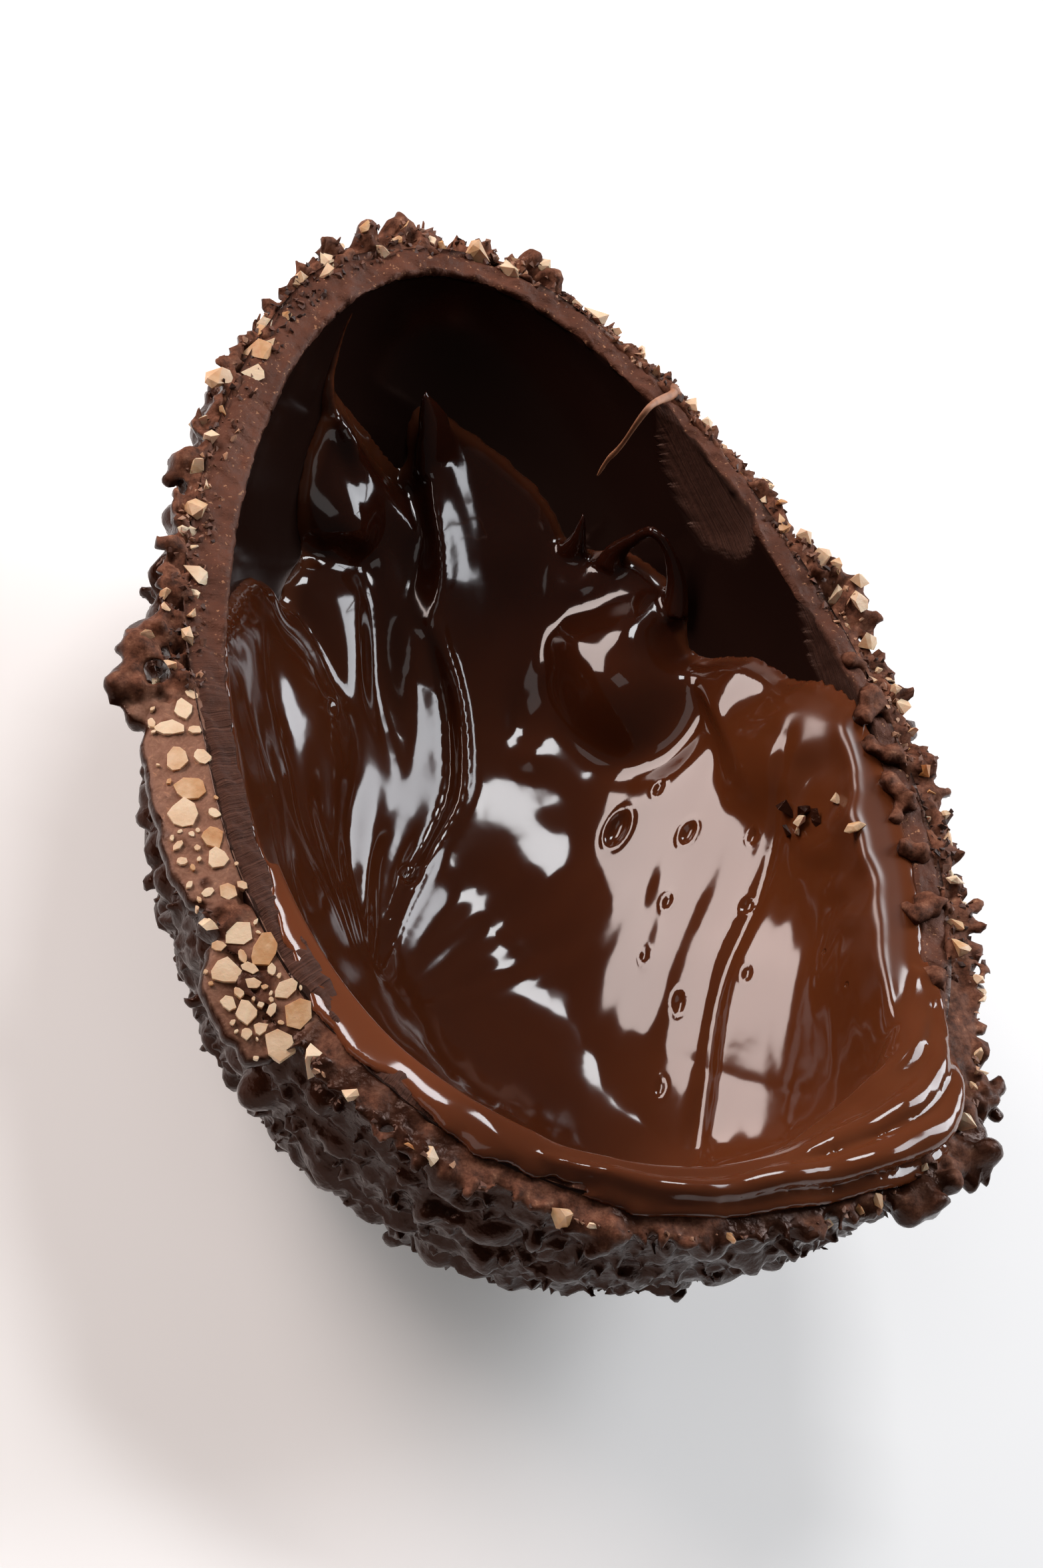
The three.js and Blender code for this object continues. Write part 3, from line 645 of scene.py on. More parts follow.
def spatula_fan(flat):
    """Ribs that spread from where the spatula was lifted, low on the left."""
    out = flat - np.array(FAN_MIDDLE)
    reach = np.linalg.norm(out, axis=1)
    turn = np.arctan2(out[:, 1], out[:, 0])
    fine, broad = FAN_RIBS
    ribs = np.sin(fine * turn + 0.8 + 0.5 * np.sin(reach / 6)) + 0.7 * np.sin(broad * turn)
    height = 0.0055 * reach * smooth(3, 10, reach) * (1 - smooth(36, 56, reach))
    facing = smooth(0.1, 0.35, turn) * (1 - smooth(1.9, 2.3, turn))
    return ribs * height * facing


def soften(field, passes):
    """Evens out a square field of numbers, one weighted pass after another."""
    side = int(round(math.sqrt(len(field))))
    square = field.reshape(side, side)
    for _ in range(passes):
        for axis in (0, 1):
            padded = np.pad(square, [(1, 1) if n == axis else (0, 0) for n in (0, 1)], "edge")
            before = np.take(padded, np.arange(side), axis)
            after = np.take(padded, np.arange(2, side + 2), axis)
            square = 0.25 * before + 0.5 * square + 0.25 * after
    return square.ravel()


def cream_depth(places):
    flat = unrolled(places)
    points = egg_points(places, HOLLOW_INSET)
    outline = smooth_path(CREAM_OUTLINE, 4, closed=True)
    inside = inside_outline(flat, outline) + 0.3 * wave_noise(points, 6, 21)
    within = np.maximum(inside, 0)
    least = 0.4 * np.minimum(within, 1)
    depth = CREAM_EDGE_HEIGHT * np.sqrt(1 - np.exp(-within / CREAM_EDGE_WIDTH))
    depth += (CREAM_BELLY - CREAM_EDGE_HEIGHT) * smooth(0, 34, inside)
    for swell in CREAM_SWELLS:
        depth += smooth(0, 5, inside) * swell_height(flat, *swell)
    for path, width, valley in CREAM_VALLEYS:
        away = distance_to_path(flat, smooth_path(path, 6))
        depth -= valley * np.exp(-((away / width) ** 2))
    depth += smooth(0, 10, inside) * 0.3 * wave_noise(points, 26, 22)
    depth = np.where(inside > 0, np.maximum(depth, least), 0)
    depth += (soften(depth, CREAM_SOFTENING) - depth) * smooth(0.8, 5, inside)
    for stations in CREAM_RIDGES:
        depth += smooth(-1.0, 1.5, inside) * ridge_height(flat, stations)
    depth += ridge_height(flat, CREAM_THREAD)
    depth += smooth(0, 10, inside) * (spatula_marks(flat) + spatula_fan(flat))
    depth += smooth(66, 76, flat[:, 0]) * 0.75 * wave_noise(points, 13, 24) * smooth(0, 5, inside)
    depth = np.where(inside > 0, np.maximum(depth, least), depth)
    below = below_rim(places)
    level = sector(bearing_of(places), *CREAM_LEVEL)
    depth += level * smooth(9, 2, below) * smooth(0, 4, inside) * 0.7 * wave_noise(points, 13, 26, 1)
    over_rim = 0.15 * sector(bearing_of(places), *CREAM_OVER_RIM, 10)
    left = np.maximum(over_rim, CREAM_LEVEL_SHARE * level)
    to_rim = 1 - (1 - np.clip(below / CREAM_RIM_WIDTH, 0, 1)) ** 2
    edge = smooth(-2.5, 2.5, below)
    edge += (smooth(-3.0, 0.6, below) - edge) * level
    return depth * (to_rim + left * (1 - to_rim)) * edge


def cream_spread():
    """The spread layer as a closed mesh: its face towards the wall and its free face."""
    places = egg_places(CREAM_GRID)
    depth = cream_depth(places)
    under = egg_points(places, HOLLOW_INSET - CREAM_SINK)
    free = egg_points(places, HOLLOW_INSET - CREAM_SINK + depth + CREAM_SINK * (depth > 0))
    free[depth <= 0] = under[depth <= 0]
    quads = grid_faces(CREAM_GRID)
    quads = quads[(depth[quads] > 0).any(axis=1)]
    count = len(places)
    ring = border_ring(CREAM_GRID)
    rim_strip = strip_faces(ring, ring + count)
    rim_strip = rim_strip[(depth[rim_strip[:, :2]] > 0).any(axis=1)]
    faces = [quads, (quads + count)[:, ::-1], rim_strip]
    return np.concatenate([under, free]), np.concatenate(faces)


def oval(middle, side, up, corners):
    """A ring of points round a middle, with its two half-widths as vectors."""
    turn = np.linspace(0, 2 * np.pi, corners, endpoint=False)[:, None]
    return middle + np.cos(turn) * side + np.sin(turn) * up


def cream_peak(stations):
    """A tongue of cream, oval in section, that stands off the wall and leans."""
    path = smooth_path(stations, 7)
    middles = wall_points(path[:, :2], path[:, 2])
    away = unit(wall_points(path[:, :2], path[:, 2] + 1) - middles)
    sideways = unit(np.cross(np.gradient(middles, axis=0), away))
    width, thickness = np.maximum(path[:, 3:5], 0.3).T[:, :, None]
    lean = np.radians(path[:, 5:])
    side = (sideways * np.cos(lean) - away * np.sin(lean)) * width
    up = (sideways * np.sin(lean) + away * np.cos(lean)) * thickness
    return closed_loft([oval(*ring, 24) for ring in zip(middles, side, up)])


def lip_section(reach, height):
    """The lip across the rim: outward reach past the wall, and height."""
    corners = [
        (-2.2, -3.5), (-0.8, -5.5), (0.3, -1.5), (0.9, -0.5), (reach, -0.5), (reach + 0.4, 0.1),
        (0.8 * reach, 0.6 * height + 0.1), (0.4 * reach, height), (-0.9, 0.8 * height), (-2.3, -0.6),
    ]
    return smooth_path(corners, 3, closed=True)


def cream_lip():
    path = smooth_path(CREAM_LIP, 10)
    along_rim = egg_points(rim_places(path[:, 0]), HOLLOW_INSET)
    ragged = 0.22 * wave_noise(along_rim, 13, 31) + 0.16 * wave_noise(along_rim, 4, 32)
    sections = []
    for (bearing, reach, height), wobble in zip(path, ragged):
        outward, heights = lip_section(max(reach * (1 + wobble), 0.4), max(height, 0.3)).T
        sections.append(points_at_rim(bearing, HOLLOW_INSET - outward, heights))
    return closed_loft(sections)


def cream_fold(stations):
    """A soft strand lying along the lip, round in section."""
    turn = np.linspace(0, 2 * np.pi, 14, endpoint=False)
    sections = []
    for bearing, reach, height, thickness in smooth_path(stations, 10):
        size = max(thickness, 0.25)
        inset = HOLLOW_INSET - reach - 1.3 * size * np.cos(turn)
        sections.append(points_at_rim(bearing, inset, height + size * np.sin(turn)))
    return closed_loft(sections)


def closed_loft(sections):
    """Faces between matching rings of points, and a fan over each end."""
    corners = len(sections[0])
    rings = [n * corners + np.arange(corners) for n in range(len(sections))]
    faces = [strip_faces(a, b) for a, b in zip(rings, rings[1:])]
    points = np.concatenate([*sections, [sections[0].mean(0)], [sections[-1].mean(0)]])
    start, end = len(points) - 2, len(points) - 1
    caps = [[b, a, start, start] for a, b in zip(rings[0], np.roll(rings[0], -1))]
    caps += [[a, b, end, end] for a, b in zip(rings[-1], np.roll(rings[-1], -1))]
    return points, np.concatenate([*faces, np.array(caps)])


def join_parts(parts):
    """One list of points and faces from several; a face names each of its corners once."""
    points = np.concatenate([part[0] for part in parts])
    starts = np.cumsum([0] + [len(part[0]) for part in parts[:-1]])
    faces = [list(dict.fromkeys(face.tolist()))
             for (_, part_faces), start in zip(parts, starts) for face in part_faces + start]
    return points, faces


def egg_frame_points(piece):
    """A piece's mesh points back in egg-frame millimetres."""
    points = np.empty(len(piece.data.vertices) * 3)
    piece.data.vertices.foreach_get("co", points)
    return (points.reshape(-1, 3) - np.array(EGG_MIDDLE)) / MILLIMETRE


def move_points(piece, points):
    placed = points * MILLIMETRE + np.array(EGG_MIDDLE)
    piece.data.vertices.foreach_set("co", placed.ravel())
    piece.data.update()


def even_out(piece, passes, group=""):
    even = piece.modifiers.new("even", "SMOOTH")
    even.factor = 0.5
    even.iterations = passes
    even.vertex_group = group
    melt_down(piece)


def fuse(piece, voxel, smoothing, triangles=None):
    """Melts overlapping bodies into one skin and evens it out, down to a number of triangles."""
    remesh = piece.modifiers.new("melt", "REMESH")
    remesh.mode = "VOXEL"
    remesh.voxel_size = voxel * MILLIMETRE
    even_out(piece, smoothing)
    count = 2 * len(piece.data.polygons)
    if triangles and count > triangles:
        thin = piece.modifiers.new("thin", "DECIMATE")
        thin.ratio = triangles / count
        melt_down(piece)
    piece.data.shade_smooth()


def melt_down(piece):
    """Applies a piece's modifiers."""
    graph = bpy.context.evaluated_depsgraph_get()
    melted = bpy.data.meshes.new_from_object(piece.evaluated_get(graph))
    piece.modifiers.clear()
    old = piece.data
    piece.data = melted
    bpy.data.meshes.remove(old)


def outline_shares(points):
    """How far out points lie, across and along, as shares of the egg's outline."""
    along = points[:, 1] / HALF_LENGTH
    return points[:, 0] / (HALF_WIDTH * width_at(along)), along


def bearings_on_rim(points):
    across, along = outline_shares(points)
    return np.degrees(np.arctan2(along, across)) % 360


def lift_above_wall(points):
    """Roughly how far points stand in from the hollow's wall."""
    along = points[:, 1] / HOLLOW_LENGTH
    width = HOLLOW_WIDTH * width_at(along)
    across = points[:, 0] / width
    down = points[:, 2] / (BACK_DEPTH_SHARE * width)
    return HOLLOW_WIDTH * (1 - np.sqrt(across**2 + along**2 + down**2))


def on_right_edge(points):
    """How much a point belongs to the cream's edge on the right, level with the rim."""
    share = sector(bearings_on_rim(points), *CREAM_ROUNDED) * smooth(-9, -4, points[:, 2])
    return share * smooth(0.8, 3.0, lift_above_wall(points))


def round_over(piece):
    """Rounds the cream's edge on the right a little."""
    weights = on_right_edge(egg_frame_points(piece))
    rounded = piece.vertex_groups.new(name="rounded")
    for number in np.flatnonzero(weights > 0.02).tolist():
        rounded.add([number], float(weights[number]), "REPLACE")
    even_out(piece, CREAM_ROUNDING, rounded.name)
    piece.vertex_groups.clear()


def open_bubbles(points):
    """Small craters with a raised ring where bubbles burst, drawn out along the stroke."""
    for across, along, radius in CREAM_BUBBLES:
        middle, next_one = wall_points([(across, along), (across - BUBBLE_LEAN, along + 1)], BUBBLE_LIFT)
        inward = -unit(middle)
        stroke = unit(next_one - middle)
        offset = points - middle
        side = offset - np.outer(offset @ inward, inward)
        side -= np.outer(side @ stroke, stroke) * (1 - 1 / BUBBLE_STRETCH)
        away = np.linalg.norm(side, axis=1) / radius
        near = (away < 2.2) & (np.abs(offset @ inward) < 9)
        crater = 0.14 * np.exp(-(((away - 1.05) / 0.3) ** 2)) - 0.5 * np.clip(1 - away**2, 0, 1)
        points = points + np.outer(np.where(near, crater * radius, 0), inward)
    return points


def make_cream():
    folds = [cream_fold(fold) for fold in CREAM_FOLDS]
    peaks = [cream_peak(peak) for peak in CREAM_PEAKS]
    parts = join_parts([cream_spread(), cream_lip(), *folds, *peaks])
    cream = mesh_piece("hazelnut_cream", *parts, "cream")
    fuse(cream, CREAM_VOXEL, 6)
    round_over(cream)
    points = open_bubbles(egg_frame_points(cream))
    lift = lift_above_wall(points)
    heaped = sector(bearings_on_rim(points), *CREAM_HEAPED) * smooth(5, 1.5, lift)
    points[:, 2] += heaped * 0.6 * wave_noise(points, 17, 25, 1)
    move_points(cream, points)
    film = 1 - smooth(0.8, 3.0, lift)
    film *= 0.35 + 0.65 * sector(bearings_on_rim(points), *CREAM_FILMED)
    paint(cream, "film", np.clip(film, 0, 1))
    paint(cream, "dulled", on_right_edge(points))
    # Painted shade and light: the cream is painted darker towards the narrow end, where the dome and the
    # peaks stand in shade, and lighter towards the right, where more light falls on it.
    shade_towards_narrow_end = smooth(14, 52, points[:, 1] + 0.25 * points[:, 0])
    light_towards_right = smooth(16, 52, points[:, 0] - 0.25 * points[:, 1])
    paint(cream, "tone_and_painted_shading", 0.5 - 0.5 * shade_towards_narrow_end + 0.5 * light_towards_right * (1 - shade_towards_narrow_end))
    return cream


def cream_finish():
    finish = Finish("glossy_hazelnut_cream")
    swirl = finish.times(finish.sum(finish.noise(22, 3, 0.55, 1.2), -0.5), 0.35)
    # Painted shade and light: the painted shading darkens the cream towards the narrow end and lightens
    # it to the right; the swirl adds tone at random.
    body = finish.ramp(finish.sum(finish.painted("tone_and_painted_shading"), swirl),
                       (0.04, CREAM_PAINTED_SHADE), (0.5, CREAM_BODY), (0.96, CREAM_PAINTED_LIGHT))
    gloss = finish.ramp(finish.noise(45, 4), (0.35, 0.06), (0.75, 0.13))
    waves = finish.bump(finish.noise(160, 2, 0.5), 0.04)
    pinholes = finish.ramp(finish.cells(95), (0.03, 0.0), (0.055, 1.0))
    finish.set(
        Base_Color=finish.mix(finish.painted("film"), body, CREAM_FILM),
        Roughness=finish.mix(finish.painted("dulled"), gloss, CREAM_DULL),
        Normal=finish.bump(pinholes, 0.25, Normal=waves), IOR=CREAM_IOR, Subsurface_Weight=0.2,
        Subsurface_Scale=CREAM_SCATTER_REACH, Subsurface_Radius=CREAM_SCATTER,
    )
    return finish


cream = make_cream()
cream_finish().dress(cream)
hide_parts("cream")

# ---------------------------------------------------------------------------------------------
# The nut coat
# Milk chocolate stirred with chopped hazelnuts, poured over the shell and set in rough, glossy
# lumps with small drips. At the rim it is broken: crumbly and matte, full of small holes, with
# two slabs cut smooth by a knife.
# ---------------------------------------------------------------------------------------------
COAT_GRID = 130
COAT_RIM_RINGS = 10
COAT_VOXEL = 0.66
COAT_TRIANGLES = 195000
COAT_HOLLOWS = 3.0  # how far in the outside lies between its lumps
COAT_INSIDE = COAT_THICKNESS + 0.3
# Where the coat is thicker or thinner: from, to, fade, by how much
COAT_THICKER = [(140, 235, 40, 1.1), (22, 84, 24, -1.9), (292, 326, 24, 3.2)]
# Lumps on the outside, big ones first: how many are tried, radius, how far apart, how proud
LUMP_KINDS = [(2600, (2.8, 4.4), 0.84, -1.6), (5200, (1.7, 3.0), 0.70, -0.1),
              (6500, (0.9, 1.7), 0.85, 0.9)]
DRIP_COUNT = 120
DRIP_REACH = (1.0, 2.1)
DRIP_SHAPE = [(0, 1.9), (0.35, 1.5), (0.7, 1.15), (0.92, 0.85), (1, 0.45)]  # share along, radius
RIM_LUMP_TRIES = 2400
RIM_LUMP_SIZE = (0.8, 2.4)
GREASY_RIM = (216, 318, 16)  # where the broken rim is smeared and dark: from, to, fade
THIN_WALL = (0, 48, 8)  # where lumps keep clear of the patches scraped out of the shell
FOOT_CLEARANCE = 15  # lumps keep this far from the middle of the foot
PIT_COUNT = 260
PIT_BEARINGS = (-20, 215)
PIT_SIZE = (0.7, 1.5)
PIT_DEPTH = 1.5  # times its radius
CUT_FACES = [(181, 205, 2.6, -2.4), (208, 222, 3.4, -4.2)]  # from, to, outward fall, outer inset
CLOT_BITS = 12
# Big clots that stick out: bearing, inset, height, radius
CLOTS = [
    (176, -3.6, -1.6, 3.4), (179, -4.6, -3.4, 3.2), (174, -1.6, -3, 3.8), (181, -1.2, -4.4, 3.6),
    (20, 0.8, 0.4, 3), (17, -0.6, 0.2, 3.2), (13.5, -0.6, -0.8, 2.9), (31, 1.2, 0.2, 2.4),
    (105, 1.2, 0.2, 3), (97, 0.6, -0.4, 2.8), (112, 1, 0, 2.8), (73, 0, 0.2, 2.6), (68, 0.4, 0, 2.5),
    (303, -1.2, -3.2, 5.2), (311, -2.4, -4, 5.6), (319, -1.4, -3.4, 4.4), (262, 0.5, -3, 4),
    (357, 1.5, 0.2, 2.4), (5, 1.2, 0.2, 2.2), (154, -0.6, -1, 3), (4, 7.6, 1.3, 2.8),
    (357, 8.4, 1, 2.3), (351, 8.6, 0.9, 2.1), (345, 8.8, 0.8, 2), (338, 8.6, 0.9, 2.3),
    (9, 7.8, 0.8, 2), (2, 10.6, 1, 2.1), (358, 11.2, 0.7, 1.9), (353.5, 10.6, 0.9, 2.2),
    (349, 11.2, 0.6, 1.9), (345, 10.8, 0.8, 2.1), (341, 11.4, 0.5, 1.8), (336, 10.8, 0.7, 2.2),
    (332, 9.2, 0.6, 2.1), (328, 9.6, 0.6, 2.2),
]
FOOT_HEIGHT = EGG_MIDDLE.z / MILLIMETRE
FOOT_Y = -EGG_MIDDLE.y / MILLIMETRE

COAT_DARK = (0.0115, 0.0034, 0.0018)
COAT_SHEEN = (0.0330, 0.0098, 0.0048)
BROKEN_COAT = (0.125, 0.047, 0.027)
BROKEN_COAT_ROUGHNESS = 0.66
CRUMB_DARK = (0.045, 0.017, 0.010)
CRUMB_BROWN = (0.200, 0.085, 0.050)
CRUMB_PALE = (0.400, 0.200, 0.115)
CUT_COAT = (0.205, 0.098, 0.064)
CUT_COAT_LIGHT = (0.250, 0.130, 0.086)
CUT_ROUGHNESS = 0.48
COAT_SHINE = 0.22


def coat_thicker(places):
    bearings = bearing_of(places)
    return (1 + places[:, 2]) * sum(
        by * sector(bearings, start, end, fade) for start, end, fade, by in COAT_THICKER
    )


def cut_height(fall, inset):
    """Height of a knife-cut face, which falls from the shell to the egg's outline."""
    return -fall * (COAT_THICKNESS - inset) / COAT_THICKNESS


def rim_height(places, inward):
    """Height of the coat's broken face; inward is 0 at its outer edge and 1 at the shell."""
    bearings = bearing_of(places)
    points = egg_points(places, COAT_THICKNESS * inward)
    height = 0.8 * wave_noise(points, 7, 40) + 0.6 * wave_noise(points, 2.5, 41) - 0.4
    height -= 1.2 * sector(bearings, *WIDE_BAND) * smooth(0.35, 0.6, inward)
    for start, end, fall, _ in CUT_FACES:
        share = sector(bearings, start, end, 3)
        height += (-fall * (1 - inward) - 0.6 - height) * share
    covered = sector(bearings, *CREAM_OVER_RIM)
    return height + (-1.5 * (1 - inward) - 0.2 - height) * covered


def random_turns(random, count):
    """Rotation matrices from random unit quaternions."""
    w, x, y, z = unit(random.normal(size=(count, 4))).T
    return np.stack([
        1 - 2 * (y * y + z * z), 2 * (x * y - z * w), 2 * (x * z + y * w),
        2 * (x * y + z * w), 1 - 2 * (x * x + z * z), 2 * (y * z - x * w),
        2 * (x * z - y * w), 2 * (y * z + x * w), 1 - 2 * (x * x + y * y),
    ], 1).reshape(count, 3, 3)


def chopped_bits(centres, radii, seed, flatness=(0.6, 1.0), corners=(8, 13)):
    """Sharp-edged bits, each the hull of a few scattered corners; also each point's bit number."""
    random = np.random.default_rng(seed)
    points, faces, owners, start = [], [], [], 0
    for number, (centre, radius) in enumerate(zip(centres, radii)):
        cloud = unit(random.normal(size=(random.integers(*corners), 3)))
        cloud *= random.uniform(0.75, 1.1, (len(cloud), 1))
        cloud *= (random.uniform(0.95, 1.35), random.uniform(0.75, 1), random.uniform(*flatness))
        cloud = cloud @ random_turns(random, 1)[0].T * radius + centre
        bit = bmesh.new()
        for corner in cloud:
            bit.verts.new(corner)
        bmesh.ops.convex_hull(bit, input=bit.verts)
        bmesh.ops.delete(bit, geom=[v for v in bit.verts if not v.link_faces], context="VERTS")
        bit.verts.index_update()
        points.append(np.array([vertex.co for vertex in bit.verts]))
        faces += [[start + vertex.index for vertex in face.verts] for face in bit.faces]
        owners += [number] * len(bit.verts)
        start += len(bit.verts)
        bit.free()
    return np.concatenate(points), faces, np.array(owners)


def spread_out(centres, radii, spacing):
    """Picks bits that don't crowd each other, in the order given."""
    kept = np.empty(len(centres), int)
    count = 0
    for number in range(len(centres)):
        others = kept[:count]
        gaps = np.linalg.norm(centres[others] - centres[number], axis=1)
        if (gaps > spacing * (radii[others] + radii[number])).all():
            kept[count] = number
            count += 1
    return kept[:count]


def coat_body():
    """The coat without its lumps, as a closed bowl with a broken rim."""
    places = egg_places(COAT_GRID)
    hollow = COAT_HOLLOWS - coat_thicker(places)
    outer = egg_points(places, hollow + 0.5 * wave_noise(egg_points(places, 0), 6, 44))
    inner = egg_points(places, COAT_INSIDE)
    ring = border_ring(COAT_GRID)
    rim = places[ring]
    outer[ring, 2] = rim_height(rim, 0)
    inner[ring, 2] = rim_height(rim, 1)
    rows = []
    for share in np.arange(1, COAT_RIM_RINGS) / COAT_RIM_RINGS:
        row = egg_points(rim, hollow[ring] + share * (COAT_INSIDE - hollow[ring]))
        row[:, 2] = rim_height(rim, share) + 0.5 * wave_noise(row, 3, 43)
        rows.append(row)
    return bowl(outer, rows, inner, COAT_GRID)


def rounded_bits(centres, radii, seed):
    """Smooth, uneven lumps, each a ball that is stretched, bulged and turned at random."""
    random = np.random.default_rng(seed)
    ball = bmesh.new()
    bmesh.ops.create_icosphere(ball, subdivisions=2, radius=1)
    shape = np.array([vertex.co for vertex in ball.verts])
    corners = np.array([[vertex.index for vertex in face.verts] for face in ball.faces])
    ball.free()
    count = len(centres)
    waves = random.normal(size=(count, 3, 2)) * 1.9
    bulge = 1 + 0.2 * np.sin(shape @ waves + random.uniform(0, 6, (count, 1, 2))).sum(2)
    stretched = shape * bulge[:, :, None] * random.uniform(0.65, 1.3, (count, 1, 3))
    turned = stretched @ random_turns(random, count) * np.asarray(radii)[:, None, None]
    points = (turned + np.asarray(centres)[:, None, :]).reshape(-1, 3)
    starts = np.arange(count)[:, None, None] * len(shape)
    return points, (corners[None] + starts).reshape(-1, 3)


def outside_lumps():
    """Lumps all over the outside, clear of the foot that the egg rests on and of the shell."""
    parts = []
    for number, (tries, size, spacing, proud) in enumerate(LUMP_KINDS):
        random = np.random.default_rng(7 + number)
        places = square_to_half_sphere(*random.uniform(-1, 1, (2, tries)))
        radii = random.uniform(*size, tries)
        sunk = COAT_HOLLOWS - proud - random.uniform(-0.5, 0.7, tries)
        centres = egg_points(places, sunk - coat_thicker(places))
        from_foot = np.hypot(centres[:, 0], centres[:, 1] - FOOT_Y)
        room = HOLLOW_INSET - 0.7 - 1.7 * sector(bearing_of(places), *THIN_WALL)
        fits = (from_foot > FOOT_CLEARANCE) | (centres[:, 2] > -20)
        fits &= centres[:, 2] + radii * 0.75 < 0.2
        fits &= sunk - coat_thicker(places) + 1.3 * radii < room
        fits = np.flatnonzero(fits)
        fits = fits[spread_out(centres[fits], radii[fits], spacing)]
        if number == 0:
            parts.append(rounded_bits(centres[fits], radii[fits], 18))
        else:
            parts.append(chopped_bits(centres[fits], radii[fits], 18 + number, (0.35, 0.8))[:2])
    return parts


def drips():
    """Small pointed drips that set as the chocolate ran off the lumps."""
    random = np.random.default_rng(15)
    places = square_to_half_sphere(*random.uniform(-0.97, 0.97, (2, DRIP_COUNT)))
    roots = egg_points(places, 0.9 - coat_thicker(places))
    outward = unit(egg_points(places, 0) - egg_points(places, 1))
    lean = unit(outward + 0.75 * random.normal(size=(DRIP_COUNT, 3)))
    parts = []
    for root, way, out in zip(roots, lean, outward):
        if root[2] > -2.5 or root[2] < 6 - FOOT_HEIGHT:
            continue
        reach = random.uniform(*DRIP_REACH)
        across = unit(np.cross(way, (0.3, 0.5, 0.8)))
        through = np.cross(way, across)
        bend = 0.6 * random.normal(size=3)
        rings = []
        for share, radius in DRIP_SHAPE:
            middle = root + (way * reach + out * 0.6 + bend * share) * share
            rings.append(oval(middle, across * radius, through * radius, 8))
        parts.append(closed_loft(rings))
    return parts


def rim_spots(random, count, size, inward_range, outset, over):
    """Random spots on the broken rim, off the cut slabs and off the cream but for its edge."""
    bearings = random.uniform(0, 360, count)
    inward = random.uniform(*inward_range, count)
    radii = random.uniform(*size, count)
    places = rim_places(bearings)
    outset = outset - coat_thicker(places)
    centres = egg_points(places, outset + inward * (COAT_THICKNESS - outset))
    smooth_cut = sum(sector(bearings, start, end, 2) for start, end, *_ in CUT_FACES)
    covered = sector(bearings, *CREAM_OVER_RIM)
    kept = (smooth_cut < 0.5) & ((covered < 0.5) | (inward < over))
    return places[kept], inward[kept], centres[kept], radii[kept]


def rim_lumps():
    random = np.random.default_rng(9)
    places, inward, centres, radii = rim_spots(
        random, RIM_LUMP_TRIES, RIM_LUMP_SIZE, (-0.12, 0.95), 1.2, 0.3)
    centres[:, 2] = rim_height(places, np.clip(inward, 0, 1)) - random.uniform(0.2, 0.9) * radii
    fits = spread_out(centres, radii, 0.55)
    return chopped_bits(centres[fits], radii[fits], 10)[:2]


def coat_clots():
    """Each clot is a ball with smaller ones stuck to it."""
    random = np.random.default_rng(12)
    centres, radii = [], []
    for bearing, inset, height, radius in CLOTS:
        depth = inset + 0.35 * radius - coat_thicker(rim_places(bearing))
        middle = points_at_rim(bearing, depth, height - 0.4)[0]
        centres.append(middle)
        radii.append(radius * 0.7)
        for _ in range(CLOT_BITS):
            aside = np.clip(random.normal(size=3), -1.6, 1.6)
            centres.append(middle + aside * radius * (0.42, 0.42, 0.36))
            radii.append(radius * random.uniform(0.26, 0.5))
    return rounded_bits(centres, radii, 13)


def cut_slabs():
    """The two slabs with knife-cut faces, standing out over the rough outside."""
    slabs = []
    for start, end, fall, outer in CUT_FACES:
        bearings = np.arange(start, end + 0.1, 0.75)
        ragged = wave_noise(egg_points(rim_places(bearings), 0), 4, start, 3)
        drawn_in = 3.2 * (1 - smooth(0, 2.6, np.minimum(bearings - start, end - bearings)))
        sections = []
        for bearing, edge in zip(bearings, outer + 0.9 * ragged + drawn_in):
            drop = cut_height(fall, edge)
            insets = np.array([6.4, 3.0, edge + 0.5, edge, edge + 0.7, 3.2, 6.4])
            heights = [-0.02 * fall, drop * 0.55, drop - 0.05, drop - 0.7, drop - 3, -6.2, -6.5]
            sections.append(points_at_rim(bearing, insets, heights))
        slabs.append(closed_loft(sections))
    return slabs


def point_normals(piece):
    normals = np.empty(len(piece.data.vertices) * 3)
    piece.data.vertex_normals.foreach_get("vector", normals)
    return normals.reshape(-1, 3)


def sink_pits(points):
    """Small air holes in the broken rim."""
    random = np.random.default_rng(17)
    places = rim_places(random.uniform(*PIT_BEARINGS, PIT_COUNT))
    pits = egg_points(places, random.uniform(0.6, 5.8, PIT_COUNT))
    near = np.flatnonzero(points[:, 2] > -2.5)
    for pit, radius in zip(pits, random.uniform(*PIT_SIZE, PIT_COUNT)):
        away = np.linalg.norm(points[near, :2] - pit[:2], axis=1) / radius
        points[near, 2] -= PIT_DEPTH * radius * np.clip(1 - away**2, 0, 1)
    return points


def drop_loose_islands(piece):
    """Keeps the one big body and deletes every bit that doesn't touch it."""
    mesh = piece.data
    edges = np.empty(2 * len(mesh.edges), int)
    mesh.edges.foreach_get("vertices", edges)
    first, second = edges.reshape(-1, 2).T
    group = np.arange(len(mesh.vertices))
    while True:
        lowest = np.minimum(group[first], group[second])
        merged = group.copy()
        np.minimum.at(merged, group[first], lowest)
        np.minimum.at(merged, group[second], lowest)
        merged = merged[merged]
        if (merged == group).all():
            break
        group = merged
    biggest = np.bincount(group).argmax()
    edit = bmesh.new()
    edit.from_mesh(mesh)
    edit.verts.ensure_lookup_table()
    loose = [edit.verts[number] for number in np.flatnonzero(group != biggest)]
    bmesh.ops.delete(edit, geom=loose, context="VERTS")
    edit.to_mesh(mesh)
    edit.free()


